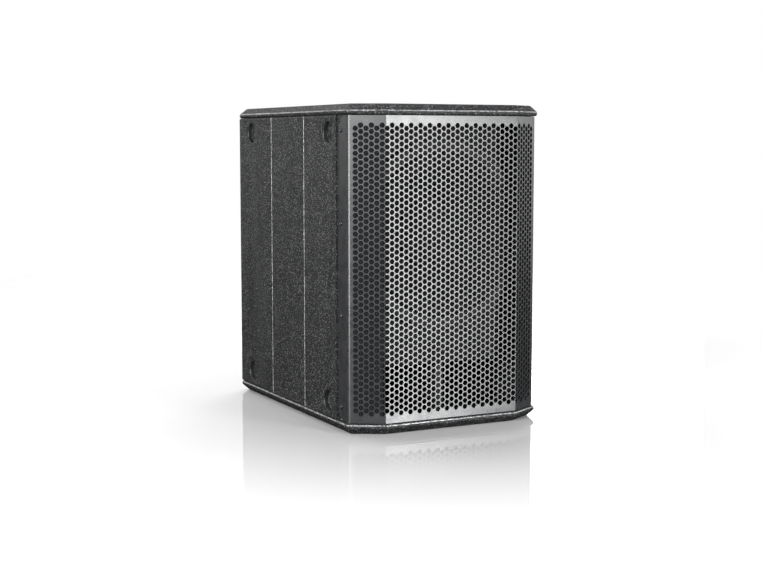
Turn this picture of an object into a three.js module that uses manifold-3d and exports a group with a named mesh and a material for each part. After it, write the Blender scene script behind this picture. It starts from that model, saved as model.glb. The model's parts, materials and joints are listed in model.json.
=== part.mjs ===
// A compact powered subwoofer cabinet, in millimetres. X runs across, Y from the grille (-Y) to the
// amplifier panel (+Y) and Z up. The origin is the centre of the bottom plate's lower face.
import * as THREE from "three";
import { mergeVertices } from "three/addons/utils/BufferGeometryUtils.js";
import Module from "manifold-3d";

// Overall size and board thicknesses.
const WIDTH = 364;
const DEPTH = 504;
const HEIGHT = 540;
const PLATE = 18;
const PLY = 15;
const GAP = 0.3;

// End plates: a wide chamfer outside, a small one inside, and two cut front corners.
const PLATE_CHAMFER = 10.8;
const PLATE_INNER_CHAMFER = 2.1;
const FACET_ACROSS = 56;
const FACET_BACK = 32;

// Grille: a folded sheet set back from the plates' rim.
const GRILLE_INSET = 3;
const GRILLE_SHEET = 1.5;
const GRILLE_CLEARANCE = 1;
const FLANGE_REAR = 71;
const FLANGE_CLIP = 20;
const GRILLE_SCREW_BACK = 57.5;
const GRILLE_SCREW_PITCH = 151.5;
const GRILLE_SCREWS_PER_SIDE = 4;
const SCREW_HEAD_R = 3.6;
const SCREW_HEAD = 2;
const SCREW_R = 1.8;
const SCREW_LENGTH = 8.5;
const SCREW_HOLE_R = 2.1;
const REBATE_PAST_FLANGE = 1.2;

// Side panels: eased ends, full-height grooves, and the stacking cups and feet near the corners.
const PANEL_EASE = 1.5;
const GROOVES_FROM_FRONT = [201.7, 347];
const GROOVE_WIDTH = 2.6;
const GROOVE_DEPTH = 1.6;
const CUP_R = 20;
const CUP_WALL = 1.2;
const CUP_DEPTH = 7;
const CUP_FLOOR = 2.4;
const CUP_CENTRES_FROM_FRONT = [102.5, 443];
const CUP_FROM_END = 46;
const FOOT_R = 17;
const FOOT_TIP_R = 15.5;
const FOOT_HEIGHT = 6;

// Front baffle, slot port and brace.
const BAFFLE_BACK = 47;
const PORT_TOP = 105;
const PORT_LENGTH = 372;
const BRACE_Y = 40;
const BRACE_RIM = 50;
const PAD_THICK = 25;
const PAD_FRONT_Y = -145;
const PAD_MARGIN = 5;

// Driver, on an axis parallel to Y. Heights are places along Y.
const DRIVER_Z = 323;
const FRAME_R = 160;
const FRAME_THICK = 5;
const CUTOUT_R = 142;
const SURROUND_OUTER_R = 137;
const SURROUND_SHEET = 1.1;
const SURROUND_LIP = 12;
const GASKET_THICK = 3;
const CONE_R = 119;
const CONE_LIP = 7;
const CONE_SHEET = 1.2;
const CONE_BULGE = 3;
const NECK_Y = -148;
const CAP_R = 55;
const CAP_BASE_Y = -166.5;
const CAP_RISE = 17;
const COIL_R = 39;
const COIL_FORMER = 1.1;
const COIL_WINDING = 0.8;
const COIL_YS = [-147, -120, -97];
const SPIDER_Y = -137.5;
const SPIDER_SHEET = 0.8;
const SPIDER_WAVES = 3;
const SPIDER_WAVE_RS = [46, 80];
const SPIDER_SWING = 1.8;
const LEDGE_Y = -134;
const LEDGE_RS = [78, 92];
const BASKET_WALL_R = 84;
const BASKET_WINDOW = [400, 38, 92];
const BASKET_WINDOW_Y = -163;
const MOTOR_SEAT_Y = -112.3;
const MOTOR_SEAT_THICK = 4;
const PLATE_R = 75;
const FRONT_PLATE_YS = [-112, -104];
const MAGNET_RS = [47, 84];
const MAGNET_YS = [-103.7, -81.7];
const YOKE_YS = [-81.4, -73];
const POLE_VENT_R = 12;
const TURN_STEPS = 32;

// Rear: the back panel is set into the cabinet so that the controls stay behind the plates' rim.
const REAR_RECESS = 24;
const AMP_PANEL_WIDTH = 280;
const AMP_PANEL_BOTTOM = 120;
const AMP_PANEL_HEIGHT = 360;
const AMP_PANEL_SHEET = 3;
const AMP_BORDER = 15;
const CONTROL_ROW_Z = 268;
const JACK_ROW_Z = 220;
const POWER_ROW_Z = 162;
const JACK_XS = { input_left: 96, input_right: 58, link_left: -18, link_right: -56 };
const KNOB_XS = { level_knob: 84, delay_knob: 36 };
const BUTTON_XS = { polarity_button: -8, mode_button: -44 };
const INLET_X = 76;
const ROCKER_X = 10;
const ROCKER_TILT = THREE.MathUtils.degToRad(8);
const JACK_BODY_R = 11.6;
const JACK_HOLE_R = 12;
const JACK_FLANGE_X = 13;
const JACK_FLANGE_Z = 15.5;
const JACK_FLANGE = 3.4;
const JACK_WELL_R = 9.5;
const JACK_REAR = 20;
const JACK_CONTACTS = [[0, -4.6], [4.2, 2.2], [-4.2, 2.2]];
const KNOB_R = 8;
const KNOB_TIP_R = 7.2;
const KNOB_HEIGHT = 12;
const SHAFT_R = 3;
const SHAFT_REAR_Y = 222;
const BUTTON_R = 3.8;
const BUTTON_REAR_Y = 223;
const BUTTON_PROUD = 4;
const INLET_HOLE = [14.4, 10.6];
const INLET_FLANGE = [25, 14, 2.5];
const INLET_REAR_Y = 212;
const ROCKER_HOLE = [7.2, 10.6];
const ROCKER_BEZEL = 2;
const ROCKER_REAR_Y = 214;
const SINK_HALF = 105;
const SINK_FINS = 15;
const SINK_FIN = 1.8;
const SINK_BASE = 4;
const SINK_DEPTH = 17;
const SINK_ZS = [302, 464];
const BOARD_SHEET = 1.6;
const PILLAR_R = 3;
const PILLAR_INSET = 6;

// Handle in the top plate.
const HANDLE_Y = -20;
const HANDLE_FLANGE_X = 100;
const HANDLE_FLANGE_Y = 52;
const HANDLE_TUB_X = 90;
const HANDLE_TUB_Y = 42;
const HANDLE_DEPTH = 50;
const HANDLE_SHEET = 2.6;
const HANDLE_BAR_R = 11;
const HANDLE_BAR_Z = HEIGHT - 14;

// Places worked out from the sizes above.
const FRONT = -DEPTH / 2;
const REAR = DEPTH / 2;
const HALF = WIDTH / 2;
const INNER = HALF - PLY;
const BOARD = INNER - GAP;
const FLOOR = PLATE + GAP;
const CEILING = HEIGHT - PLATE - GAP;
const MIDDLE_Z = HEIGHT / 2;
const SHEET_FACE = GRILLE_INSET + GRILLE_SHEET;
const FLANGE_Y = FRONT + FLANGE_REAR;
const BAFFLE_Y = FRONT + BAFFLE_BACK;
const BAFFLE_REAR_Y = BAFFLE_Y + PLATE;
const BACK_Y = REAR - REAR_RECESS;
const PANEL_Y = BACK_Y + GAP;
const PANEL_FACE_Y = PANEL_Y + AMP_PANEL_SHEET;
const SEAT_Y = PANEL_FACE_Y + GAP;
const FRAME_SEAT_Y = BAFFLE_Y - GAP;
const FRAME_FRONT_Y = FRAME_SEAT_Y - FRAME_THICK;
const SURROUND_SEAT_Y = FRAME_FRONT_Y - GAP;

const wasm = await Module();
wasm.setup();

// ---- Solids, joins and cuts ----

// A closed three.js geometry as a manifold solid.
function solid(geometry) {
  const bare = geometry.clone();
  bare.deleteAttribute("normal");
  bare.deleteAttribute("uv");
  const merged = mergeVertices(bare, 1e-4);
  const index = merged.index.array;
  const kept = [];
  for (let i = 0; i < index.length; i += 3) {
    const [a, b, c] = [index[i], index[i + 1], index[i + 2]];
    if (a !== b && b !== c && c !== a) kept.push(a, b, c);
  }
  const vertProperties = merged.attributes.position.array;
  const triVerts = new Uint32Array(kept);
  return new wasm.Manifold(new wasm.Mesh({ numProp: 3, vertProperties, triVerts }));
}

function join(first, ...others) {
  return others.reduce((whole, piece) => whole.add(piece), first);
}

function cut(first, ...others) {
  return others.reduce((whole, piece) => whole.subtract(piece), first);
}

// A box between two corners.
function block([x0, x1], [y0, y1], [z0, z1]) {
  const box = new THREE.BoxGeometry(x1 - x0, y1 - y0, z1 - z0);
  return solid(box.translate((x0 + x1) / 2, (y0 + y1) / 2, (z0 + z1) / 2));
}

const X_AXIS = new THREE.Vector3(1, 0, 0);
const Y_AXIS = new THREE.Vector3(0, 1, 0);
const Z_AXIS = new THREE.Vector3(0, 0, 1);
const PLANES = {
  xy: new THREE.Matrix4(),
  yz: new THREE.Matrix4().makeBasis(Y_AXIS, Z_AXIS, X_AXIS),
  zx: new THREE.Matrix4().makeBasis(Z_AXIS, X_AXIS, Y_AXIS),
};

// An outline in one plane, carried along the third axis from one place to another.
function prism(plane, outline, from, to) {
  const shape = new THREE.Shape(outline.map(([u, v]) => new THREE.Vector2(u, v)));
  const extruded = new THREE.ExtrudeGeometry(shape, { depth: to - from, bevelEnabled: false });
  return solid(extruded.translate(0, 0, from).applyMatrix4(PLANES[plane]));
}

// A closed [radius, height] profile turned about an axis through a point. Its heights run along that axis.
function turned(profile, axis, at = [0, 0, 0], steps = TURN_STEPS) {
  const area = profile.reduce((sum, [r, h], i) => {
    const [nextR, nextH] = profile[(i + 1) % profile.length];
    return sum + r * nextH - nextR * h;
  }, 0);
  const ordered = area > 0 ? profile : [...profile].reverse();
  const onAxis = profile.some(([r]) => r === 0);
  const points = ordered.map(([r, h]) => new THREE.Vector2(r, h));
  if (onAxis) {
    while (points[0].x !== 0 || points[points.length - 1].x !== 0) points.push(points.shift());
  } else {
    points.push(points[0].clone());
  }
  const lathe = new THREE.LatheGeometry(points, steps);
  if (axis === "x") lathe.rotateZ(-Math.PI / 2);
  if (axis === "-x") lathe.rotateZ(Math.PI / 2);
  if (axis === "z") lathe.rotateX(Math.PI / 2);
  return solid(lathe.translate(...at));
}

// A cylinder about an axis through a point, between two heights.
function rod(radius, from, to, axis, at, steps = 24) {
  return turned([[0, from], [radius, from], [radius, to], [0, to]], axis, at, steps);
}

// ---- The object: named meshes in one group ----

const FINISHES = {
  texture_paint: { color: 0x3a3b3d, roughness: 0.75, metalness: 0 },
  grille_steel: { color: 0x8b8d90, roughness: 0.35, metalness: 0.6 },
  screw_steel: { color: 0x2b2b2c, roughness: 0.4, metalness: 0.7 },
  cup_plastic: { color: 0x1c1d1e, roughness: 0.45, metalness: 0 },
  foot_rubber: { color: 0x141414, roughness: 0.9, metalness: 0 },
  birch_ply: { color: 0x9c8257, roughness: 0.8, metalness: 0 },
  baffle_paint: { color: 0x47484a, roughness: 0.7, metalness: 0 },
  damping_foam: { color: 0x4a4d52, roughness: 1, metalness: 0 },
  handle_plastic: { color: 0x1a1b1c, roughness: 0.55, metalness: 0 },
  basket_alloy: { color: 0x2f3032, roughness: 0.5, metalness: 0.5 },
  cone_paper: { color: 0x3b3b3c, roughness: 0.9, metalness: 0 },
  surround_cloth: { color: 0x1f1f20, roughness: 0.8, metalness: 0 },
  spider_cloth: { color: 0x9a7a3c, roughness: 0.95, metalness: 0 },
  coil_copper: { color: 0xb4703a, roughness: 0.4, metalness: 0.9 },
  motor_steel: { color: 0x6d7074, roughness: 0.4, metalness: 0.9 },
  ferrite: { color: 0x2a2a2c, roughness: 0.85, metalness: 0 },
  amp_panel_paint: { color: 0x1d1e20, roughness: 0.6, metalness: 0.2 },
  heat_sink_alloy: { color: 0x26272a, roughness: 0.45, metalness: 0.8 },
  circuit_board: { color: 0x1f4a2c, roughness: 0.6, metalness: 0 },
  jack_plastic: { color: 0x151516, roughness: 0.5, metalness: 0 },
  knob_plastic: { color: 0x202122, roughness: 0.5, metalness: 0 },
};

const cabinet = new THREE.Group();

function add(name, piece, finish) {
  const mesh = piece.getMesh();
  const geometry = new THREE.BufferGeometry();
  geometry.setAttribute("position", new THREE.BufferAttribute(mesh.vertProperties, 3));
  geometry.setIndex(new THREE.BufferAttribute(mesh.triVerts, 1));
  geometry.computeVertexNormals();
  const made = new THREE.Mesh(geometry, new THREE.MeshStandardMaterial(FINISHES[finish]));
  made.name = name;
  cabinet.add(made);
  return made;
}

// ---- Cabinet boards ----

// The plan of the cabinet, shrunk by an inset: rear left, round the front, to rear right.
function plan(inset, rear = REAR - inset) {
  const length = Math.hypot(FACET_ACROSS, FACET_BACK);
  const towardsRear = (1 - FACET_BACK / length) / (FACET_ACROSS / length);
  const towardsMiddle = (1 - FACET_ACROSS / length) / (FACET_BACK / length);
  const side = HALF - inset;
  const bendY = FRONT + FACET_BACK + inset * towardsRear;
  const faceX = HALF - FACET_ACROSS - inset * towardsMiddle;
  const faceY = FRONT + inset;
  return [[-side, rear], [-side, bendY], [-faceX, faceY], [faceX, faceY], [side, bendY], [side, rear]];
}

// A slab of the plan with the same chamfer above and below.
function chamferedSlab(chamfer, bottom, top) {
  const shape = new THREE.Shape(plan(0).map(([x, y]) => new THREE.Vector2(x, y)));
  const extruded = new THREE.ExtrudeGeometry(shape, {
    depth: top - bottom - 2 * chamfer,
    bevelThickness: chamfer,
    bevelSize: chamfer,
    bevelOffset: -chamfer,
    bevelSegments: 1,
  });
  return solid(extruded.translate(0, 0, bottom + chamfer));
}

function addEndPlates() {
  const beyond = 4 * PLATE;
  const bottom = chamferedSlab(PLATE_CHAMFER, 0, beyond);
  const bottomInner = chamferedSlab(PLATE_INNER_CHAMFER, -beyond, PLATE);
  add("bottom_panel", bottom.intersect(bottomInner), "texture_paint");

  const top = chamferedSlab(PLATE_CHAMFER, HEIGHT - beyond, HEIGHT);
  const topInner = chamferedSlab(PLATE_INNER_CHAMFER, HEIGHT - PLATE, HEIGHT + beyond);
  const rebateX = HANDLE_FLANGE_X + GAP;
  const rebateY = HANDLE_FLANGE_Y + GAP;
  const holeX = HANDLE_TUB_X + GAP;
  const holeY = HANDLE_TUB_Y + GAP;
  const rebateZ = HEIGHT - HANDLE_SHEET - GAP;
  const rebate = block([-rebateX, rebateX], [HANDLE_Y - rebateY, HANDLE_Y + rebateY], [rebateZ, HEIGHT + 1]);
  const hole = block([-holeX, holeX], [HANDLE_Y - holeY, HANDLE_Y + holeY], [HEIGHT - PLATE - 1, HEIGHT + 1]);
  add("top_panel", cut(top.intersect(topInner), rebate, hole), "texture_paint");
}

function screwHeights() {
  const places = [];
  for (let i = 0; i < GRILLE_SCREWS_PER_SIDE; i += 1) {
    places.push(MIDDLE_Z + (i - (GRILLE_SCREWS_PER_SIDE - 1) / 2) * GRILLE_SCREW_PITCH);
  }
  return places;
}

function cupPlaces() {
  const heights = { lower: CUP_FROM_END, upper: HEIGHT - CUP_FROM_END };
  const [front, rear] = CUP_CENTRES_FROM_FRONT.map((back) => FRONT + back);
  return Object.entries(heights).flatMap(([level, z]) => [
    { name: `front_${level}`, y: front, z },
    { name: `rear_${level}`, y: rear, z },
  ]);
}

// side is -1 for the left panel and +1 for the right one.
function sidePanel(side) {
  const ease = PANEL_EASE;
  const outer = side * HALF;
  const inner = side * INNER;
  const outline = [
    [FLOOR, inner],
    [FLOOR, outer - side * ease],
    [FLOOR + ease, outer],
    [CEILING - ease, outer],
    [CEILING, outer - side * ease],
    [CEILING, inner],
  ];
  const front = FRONT + FACET_BACK + SHEET_FACE;
  const panel = prism("zx", outline, front, REAR);
  const rebateX = [side * (HALF - SHEET_FACE - GAP), side * (HALF + 1)].sort((a, b) => a - b);
  const cuts = [block(rebateX, [front - 1, FLANGE_Y + REBATE_PAST_FLANGE], [FLOOR - 1, CEILING + 1])];
  for (const back of GROOVES_FROM_FRONT) {
    const y = FRONT + back;
    const mouth = GROOVE_WIDTH / 2;
    const groove = [
      [y - mouth, outer + side],
      [y - mouth, outer],
      [y, outer - side * GROOVE_DEPTH],
      [y + mouth, outer],
      [y + mouth, outer + side],
    ];
    cuts.push(prism("xy", groove.map(([v, u]) => [u, v]), 0, HEIGHT));
  }
  const axis = side < 0 ? "-x" : "x";
  const holeEnd = HALF - SHEET_FACE - SCREW_LENGTH - 1;
  for (const z of screwHeights()) {
    cuts.push(rod(SCREW_HOLE_R, holeEnd, HALF, axis, [0, FRONT + GRILLE_SCREW_BACK, z], 12));
  }
  if (side < 0) {
    const floor = HALF - CUP_DEPTH - CUP_FLOOR - GAP;
    for (const { y, z } of cupPlaces()) {
      cuts.push(rod(CUP_R + GAP, floor, HALF + 1, axis, [0, y, z], 24));
    }
  }
  return cut(panel, ...cuts);
}

function addBoards() {
  add("left_side_panel", sidePanel(-1), "texture_paint");
  add("right_side_panel", sidePanel(1), "texture_paint");

  const across = [-BOARD, BOARD];
  const baffle = block(across, [BAFFLE_Y, BAFFLE_REAR_Y], [PORT_TOP, CEILING]);
  const cutout = rod(CUTOUT_R, BAFFLE_Y - 1, BAFFLE_REAR_Y + 1, "y", [0, 0, DRIVER_Z], TURN_STEPS);
  add("front_baffle", cut(baffle, cutout), "baffle_paint");

  const backBoard = block(across, [BACK_Y - PLY, BACK_Y], [FLOOR, CEILING]);
  const openX = AMP_PANEL_WIDTH / 2 - AMP_BORDER;
  const openBottom = AMP_PANEL_BOTTOM + AMP_BORDER;
  const openTop = AMP_PANEL_BOTTOM + AMP_PANEL_HEIGHT - AMP_BORDER;
  const amplifierHole = block([-openX, openX], [BACK_Y - PLY - 1, BACK_Y + 1], [openBottom, openTop]);
  add("back_panel", cut(backBoard, amplifierHole), "texture_paint");

  const shelfY = BAFFLE_REAR_Y + GAP;
  const portEnd = BAFFLE_Y + PORT_LENGTH;
  add("port_shelf", block(across, [shelfY, portEnd], [PORT_TOP, PORT_TOP + PLY]), "baffle_paint");
  const rib = PLY / 2;
  add("port_divider", block([-rib, rib], [BAFFLE_Y + 2, portEnd], [FLOOR, PORT_TOP - GAP]), "baffle_paint");

  const braceBottom = PORT_TOP + PLY + GAP;
  const brace = block(across, [BRACE_Y, BRACE_Y + PLY], [braceBottom, CEILING]);
  const windowX = BOARD - BRACE_RIM;
  const braceWindow = block([-windowX, windowX], [BRACE_Y - 1, BRACE_Y + PLY + 1], [
    braceBottom + BRACE_RIM,
    CEILING - BRACE_RIM,
  ]);
  add("window_brace", cut(brace, braceWindow), "birch_ply");

  for (const [name, side] of [["damping_pad_left", -1], ["damping_pad_right", 1]]) {
    const faces = [side * BOARD, side * (BOARD - PAD_THICK)].sort((a, b) => a - b);
    const pad = block(faces, [PAD_FRONT_Y, BRACE_Y - GAP], [braceBottom + PAD_MARGIN, CEILING - PAD_MARGIN]);
    add(name, pad, "damping_foam");
  }
}

// ---- Grille and its screws ----

function addGrille() {
  const outer = plan(GRILLE_INSET, FLANGE_Y);
  const inner = plan(SHEET_FACE, FLANGE_Y);
  const bottom = PLATE + GRILLE_CLEARANCE;
  const top = HEIGHT - bottom;
  const sheet = prism("xy", [...outer, ...inner.reverse()], bottom, top);
  const cuts = [];
  for (const [edge, up] of [[bottom, 1], [top, -1]]) {
    const corner = [
      [FLANGE_Y + 1, edge - up],
      [FLANGE_Y + 1, edge + up * (FLANGE_CLIP + 1)],
      [FLANGE_Y - FLANGE_CLIP - 1, edge - up],
    ];
    cuts.push(prism("yz", corner, -WIDTH, WIDTH));
  }
  const screwY = FRONT + GRILLE_SCREW_BACK;
  for (const z of screwHeights()) {
    cuts.push(rod(SCREW_HOLE_R, -WIDTH, WIDTH, "x", [0, screwY, z], 12));
  }
  add("grille", cut(sheet, ...cuts), "grille_steel");

  const head = HALF - GRILLE_INSET + GAP;
  for (const [label, axis] of [["left", "-x"], ["right", "x"]]) {
    screwHeights().forEach((z, i) => {
      const profile = [
        [0, head - SCREW_LENGTH],
        [SCREW_R, head - SCREW_LENGTH],
        [SCREW_R, head],
        [SCREW_HEAD_R, head],
        [SCREW_HEAD_R * 0.75, head + SCREW_HEAD],
        [0, head + SCREW_HEAD],
      ];
      add(`grille_screw_${label}_${i + 1}`, turned(profile, axis, [0, screwY, z], 12), "screw_steel");
    });
  }
}

// ---- Stacking cups, feet and the handle ----

function addCupsAndFeet() {
  const cupFloor = HALF - CUP_DEPTH;
  const cupProfile = [
    [0, cupFloor - CUP_FLOOR],
    [CUP_R, cupFloor - CUP_FLOOR],
    [CUP_R, HALF],
    [CUP_R - CUP_WALL, HALF],
    [CUP_R - 2 * CUP_WALL, cupFloor],
    [0, cupFloor],
  ];
  const footProfile = [
    [0, HALF + GAP],
    [FOOT_R, HALF + GAP],
    [FOOT_TIP_R, HALF + FOOT_HEIGHT],
    [0, HALF + FOOT_HEIGHT],
  ];
  for (const { name, y, z } of cupPlaces()) {
    add(`stacking_cup_${name}`, turned(cupProfile, "-x", [0, y, z], 24), "cup_plastic");
    add(`stacking_foot_${name}`, turned(footProfile, "x", [0, y, z], 24), "foot_rubber");
  }
}

function addHandle() {
  const flangeY = [HANDLE_Y - HANDLE_FLANGE_Y, HANDLE_Y + HANDLE_FLANGE_Y];
  const tubY = [HANDLE_Y - HANDLE_TUB_Y, HANDLE_Y + HANDLE_TUB_Y];
  const floor = HEIGHT - HANDLE_DEPTH;
  const flange = block([-HANDLE_FLANGE_X, HANDLE_FLANGE_X], flangeY, [HEIGHT - HANDLE_SHEET, HEIGHT]);
  const tub = block([-HANDLE_TUB_X, HANDLE_TUB_X], tubY, [floor, HEIGHT - 0.5]);
  const innerX = HANDLE_TUB_X - HANDLE_SHEET;
  const innerY = [tubY[0] + HANDLE_SHEET, tubY[1] - HANDLE_SHEET];
  const hollow = block([-innerX, innerX], innerY, [floor + HANDLE_SHEET, HEIGHT + 1]);
  const barEnd = HANDLE_TUB_X - HANDLE_SHEET / 2;
  const bar = rod(HANDLE_BAR_R, -barEnd, barEnd, "x", [0, HANDLE_Y, HANDLE_BAR_Z], 24);
  add("top_handle", join(cut(join(flange, tub), hollow), bar), "handle_plastic");
}

// ---- Driver ----

// A sheet of one thickness along a [radius, height] centre line, as a closed profile.
function sheetProfile(line, thickness) {
  const rear = line.map(([r, h]) => [r, h + thickness / 2]);
  const front = line.map(([r, h]) => [r, h - thickness / 2]);
  return [...front, ...rear.reverse()];
}

// The frame: a flat rim, a bell with six arms between its windows, the spider's ledge and the motor's seat.
function addBasket(at) {
  const [ledgeInner, ledgeOuter] = LEDGE_RS;
  const profile = [
    [FRAME_R, FRAME_FRONT_Y],
    [FRAME_R, FRAME_SEAT_Y],
    [CUTOUT_R - 1.5, FRAME_SEAT_Y],
    [CUTOUT_R - 2, FRAME_SEAT_Y + 17.3],
    [114, LEDGE_Y - 10],
    [96, LEDGE_Y + 5],
    [BASKET_WALL_R, LEDGE_Y + 8],
    [BASKET_WALL_R, MOTOR_SEAT_Y],
    [COIL_R + 6, MOTOR_SEAT_Y],
    [COIL_R + 6, MOTOR_SEAT_Y - MOTOR_SEAT_THICK],
    [ledgeInner, MOTOR_SEAT_Y - MOTOR_SEAT_THICK],
    [ledgeInner, LEDGE_Y],
    [ledgeOuter, LEDGE_Y],
    [110, LEDGE_Y - 15],
    [SURROUND_OUTER_R - 2, FRAME_SEAT_Y + 16.3],
    [SURROUND_OUTER_R - 1, FRAME_FRONT_Y],
  ];
  const windows = [];
  for (let i = 0; i < 3; i += 1) {
    const bar = new THREE.BoxGeometry(...BASKET_WINDOW);
    bar.rotateY((i * Math.PI) / 3);
    windows.push(solid(bar.translate(0, BASKET_WINDOW_Y, DRIVER_Z)));
  }
  add("driver_basket", cut(turned(profile, "y", at), ...windows), "basket_alloy");
}

function addGasket(at) {
  const seat = SURROUND_SEAT_Y - SURROUND_SHEET - GAP;
  const step = SURROUND_OUTER_R + SURROUND_LIP + 0.5;
  const profile = [
    [SURROUND_OUTER_R + 1.5, seat],
    [step, seat],
    [step, SURROUND_SEAT_Y],
    [FRAME_R - 1, SURROUND_SEAT_Y],
    [FRAME_R - 1, seat - GASKET_THICK],
    [SURROUND_OUTER_R + 1.5, seat - GASKET_THICK],
  ];
  add("driver_gasket", turned(profile, "y", at), "foot_rubber");
}

// A flat lip on the cone, one roll, and a flat lip under the gasket.
function addSurround(at) {
  const lipLine = SURROUND_SEAT_Y - SURROUND_SHEET / 2;
  const middle = (CONE_R + SURROUND_OUTER_R) / 2;
  const roll = (SURROUND_OUTER_R - CONE_R) / 2;
  const line = [[CONE_R - CONE_LIP, lipLine]];
  const steps = 6;
  for (let i = 0; i <= steps; i += 1) {
    const angle = (Math.PI * i) / steps;
    line.push([middle - roll * Math.cos(angle), lipLine - roll * 0.8 * Math.sin(angle)]);
  }
  line.push([SURROUND_OUTER_R + SURROUND_LIP, lipLine]);
  add("surround", turned(sheetProfile(line, SURROUND_SHEET), "y", at), "surround_cloth");
}

// The corrugated disc that centres the voice coil.
function addSpider(at) {
  const [waveStart, waveEnd] = SPIDER_WAVE_RS;
  const line = [[COIL_R + 1.4, SPIDER_Y]];
  const steps = SPIDER_WAVES * 4;
  for (let i = 0; i <= steps; i += 1) {
    const share = i / steps;
    const swing = SPIDER_SWING * Math.sin(2 * Math.PI * SPIDER_WAVES * share);
    line.push([waveStart + share * (waveEnd - waveStart), SPIDER_Y + swing]);
  }
  const lipLine = LEDGE_Y - SPIDER_SHEET;
  line.push([BASKET_WALL_R - 1, lipLine], [LEDGE_RS[1] - 1, lipLine]);
  add("spider", turned(sheetProfile(line, SPIDER_SHEET), "y", at), "spider_cloth");
}

function addDriverFrame() {
  const at = [0, 0, DRIVER_Z];
  addBasket(at);
  addGasket(at);
  addSurround(at);
  addSpider(at);
}

// The moving parts: a slightly bulged cone, its domed cap, and the coil on its former.
function addCone() {
  const at = [0, 0, DRIVER_Z];
  const edgeY = FRAME_FRONT_Y;
  const frontY = edgeY + CONE_SHEET / 2;
  const neckR = COIL_R + 0.5;
  const bodyR = CONE_R - CONE_LIP;
  const bodySteps = 5;
  const coneLine = [[CONE_R, frontY]];
  for (let i = 0; i <= bodySteps; i += 1) {
    const share = i / bodySteps;
    const bulge = CONE_BULGE * Math.sin(Math.PI * share);
    coneLine.push([bodyR + (neckR - bodyR) * share, frontY + (NECK_Y - edgeY) * share + bulge]);
  }
  add("cone", turned(sheetProfile(coneLine, CONE_SHEET), "y", at), "cone_paper");

  const capSteps = 5;
  const capLine = [];
  for (let i = 0; i <= capSteps; i += 1) {
    const share = i / capSteps;
    capLine.push([CAP_R * share, CAP_BASE_Y - CAP_RISE * (1 - share * share)]);
  }
  add("dust_cap", turned(sheetProfile(capLine, CONE_SHEET), "y", at), "cone_paper");

  const [formerFront, windingFront, coilRear] = COIL_YS;
  const coilProfile = [
    [COIL_R - COIL_FORMER, formerFront],
    [COIL_R, formerFront],
    [COIL_R, windingFront],
    [COIL_R + COIL_WINDING, windingFront],
    [COIL_R + COIL_WINDING, coilRear],
    [COIL_R - COIL_FORMER, coilRear],
  ];
  add("voice_coil", turned(coilProfile, "y", at), "coil_copper");
}

// A ring of one rectangular section.
function ring([inner, outer], [front, rear], at) {
  return turned([[inner, front], [outer, front], [outer, rear], [inner, rear]], "y", at);
}

function addMotor() {
  const at = [0, 0, DRIVER_Z];
  const coilSideR = COIL_R + 2 * COIL_WINDING;
  add("motor_front_plate", ring([coilSideR, PLATE_R], FRONT_PLATE_YS, at), "motor_steel");
  add("magnet_ring", ring(MAGNET_RS, MAGNET_YS, at), "ferrite");
  const poleR = COIL_R - COIL_FORMER - 0.7;
  const [yokeFront, yokeRear] = YOKE_YS;
  const poleFront = FRONT_PLATE_YS[0];
  const yoke = [
    [POLE_VENT_R, poleFront],
    [poleR, poleFront],
    [poleR, yokeFront],
    [PLATE_R, yokeFront],
    [PLATE_R, yokeRear],
    [POLE_VENT_R, yokeRear],
  ];
  add("motor_back_plate", turned(yoke, "y", at), "motor_steel");
}

// ---- Amplifier ----

function addAmpPanel() {
  const halfWidth = AMP_PANEL_WIDTH / 2;
  const span = [AMP_PANEL_BOTTOM, AMP_PANEL_BOTTOM + AMP_PANEL_HEIGHT];
  const through = [PANEL_Y - 1, PANEL_FACE_Y + 1];
  const holes = [];
  const bore = (radius, x, z, steps) => holes.push(rod(radius, ...through, "y", [x, 0, z], steps));
  for (const x of Object.values(JACK_XS)) bore(JACK_HOLE_R, x, JACK_ROW_Z, 24);
  for (const x of Object.values(KNOB_XS)) bore(SHAFT_R + 2 * GAP, x, CONTROL_ROW_Z, 16);
  for (const x of Object.values(BUTTON_XS)) bore(BUTTON_R + 0.5, x, CONTROL_ROW_Z, 16);
  for (const [x, [a, b]] of [[INLET_X, INLET_HOLE], [ROCKER_X, ROCKER_HOLE]]) {
    holes.push(block([x - a, x + a], through, [POWER_ROW_Z - b, POWER_ROW_Z + b]));
  }
  const plate = block([-halfWidth, halfWidth], [PANEL_Y, PANEL_FACE_Y], span);
  add("amp_panel", cut(plate, ...holes), "amp_panel_paint");
}

// An extrusion with upright fins, screwed flat on the amplifier panel.
function addHeatSink() {
  const root = SEAT_Y + SINK_BASE;
  const tip = SEAT_Y + SINK_DEPTH;
  const pitch = (2 * SINK_HALF - SINK_FIN) / (SINK_FINS - 1);
  const outline = [[-SINK_HALF, SEAT_Y], [SINK_HALF, SEAT_Y]];
  for (let i = SINK_FINS - 1; i >= 0; i -= 1) {
    const x = -SINK_HALF + i * pitch;
    if (i < SINK_FINS - 1) outline.push([x + SINK_FIN, root]);
    outline.push([x + SINK_FIN, tip], [x, tip]);
    if (i > 0) outline.push([x, root]);
  }
  add("heat_sink", prism("xy", outline, ...SINK_ZS), "heat_sink_alloy");
}

// A circuit board on four pillars that reach the amplifier panel, with its larger components joined on.
function boardOnPillars([x0, x1], [z0, z1], rearY, components) {
  const board = block([x0, x1], [rearY - BOARD_SHEET, rearY], [z0, z1]);
  const pieces = [...components];
  for (const x of [x0 + PILLAR_INSET, x1 - PILLAR_INSET]) {
    for (const z of [z0 + PILLAR_INSET, z1 - PILLAR_INSET]) {
      pieces.push(rod(PILLAR_R, rearY - BOARD_SHEET / 2, PANEL_Y - GAP, "y", [x, 0, z], 8));
    }
  }
  return join(board, ...pieces);
}

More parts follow.
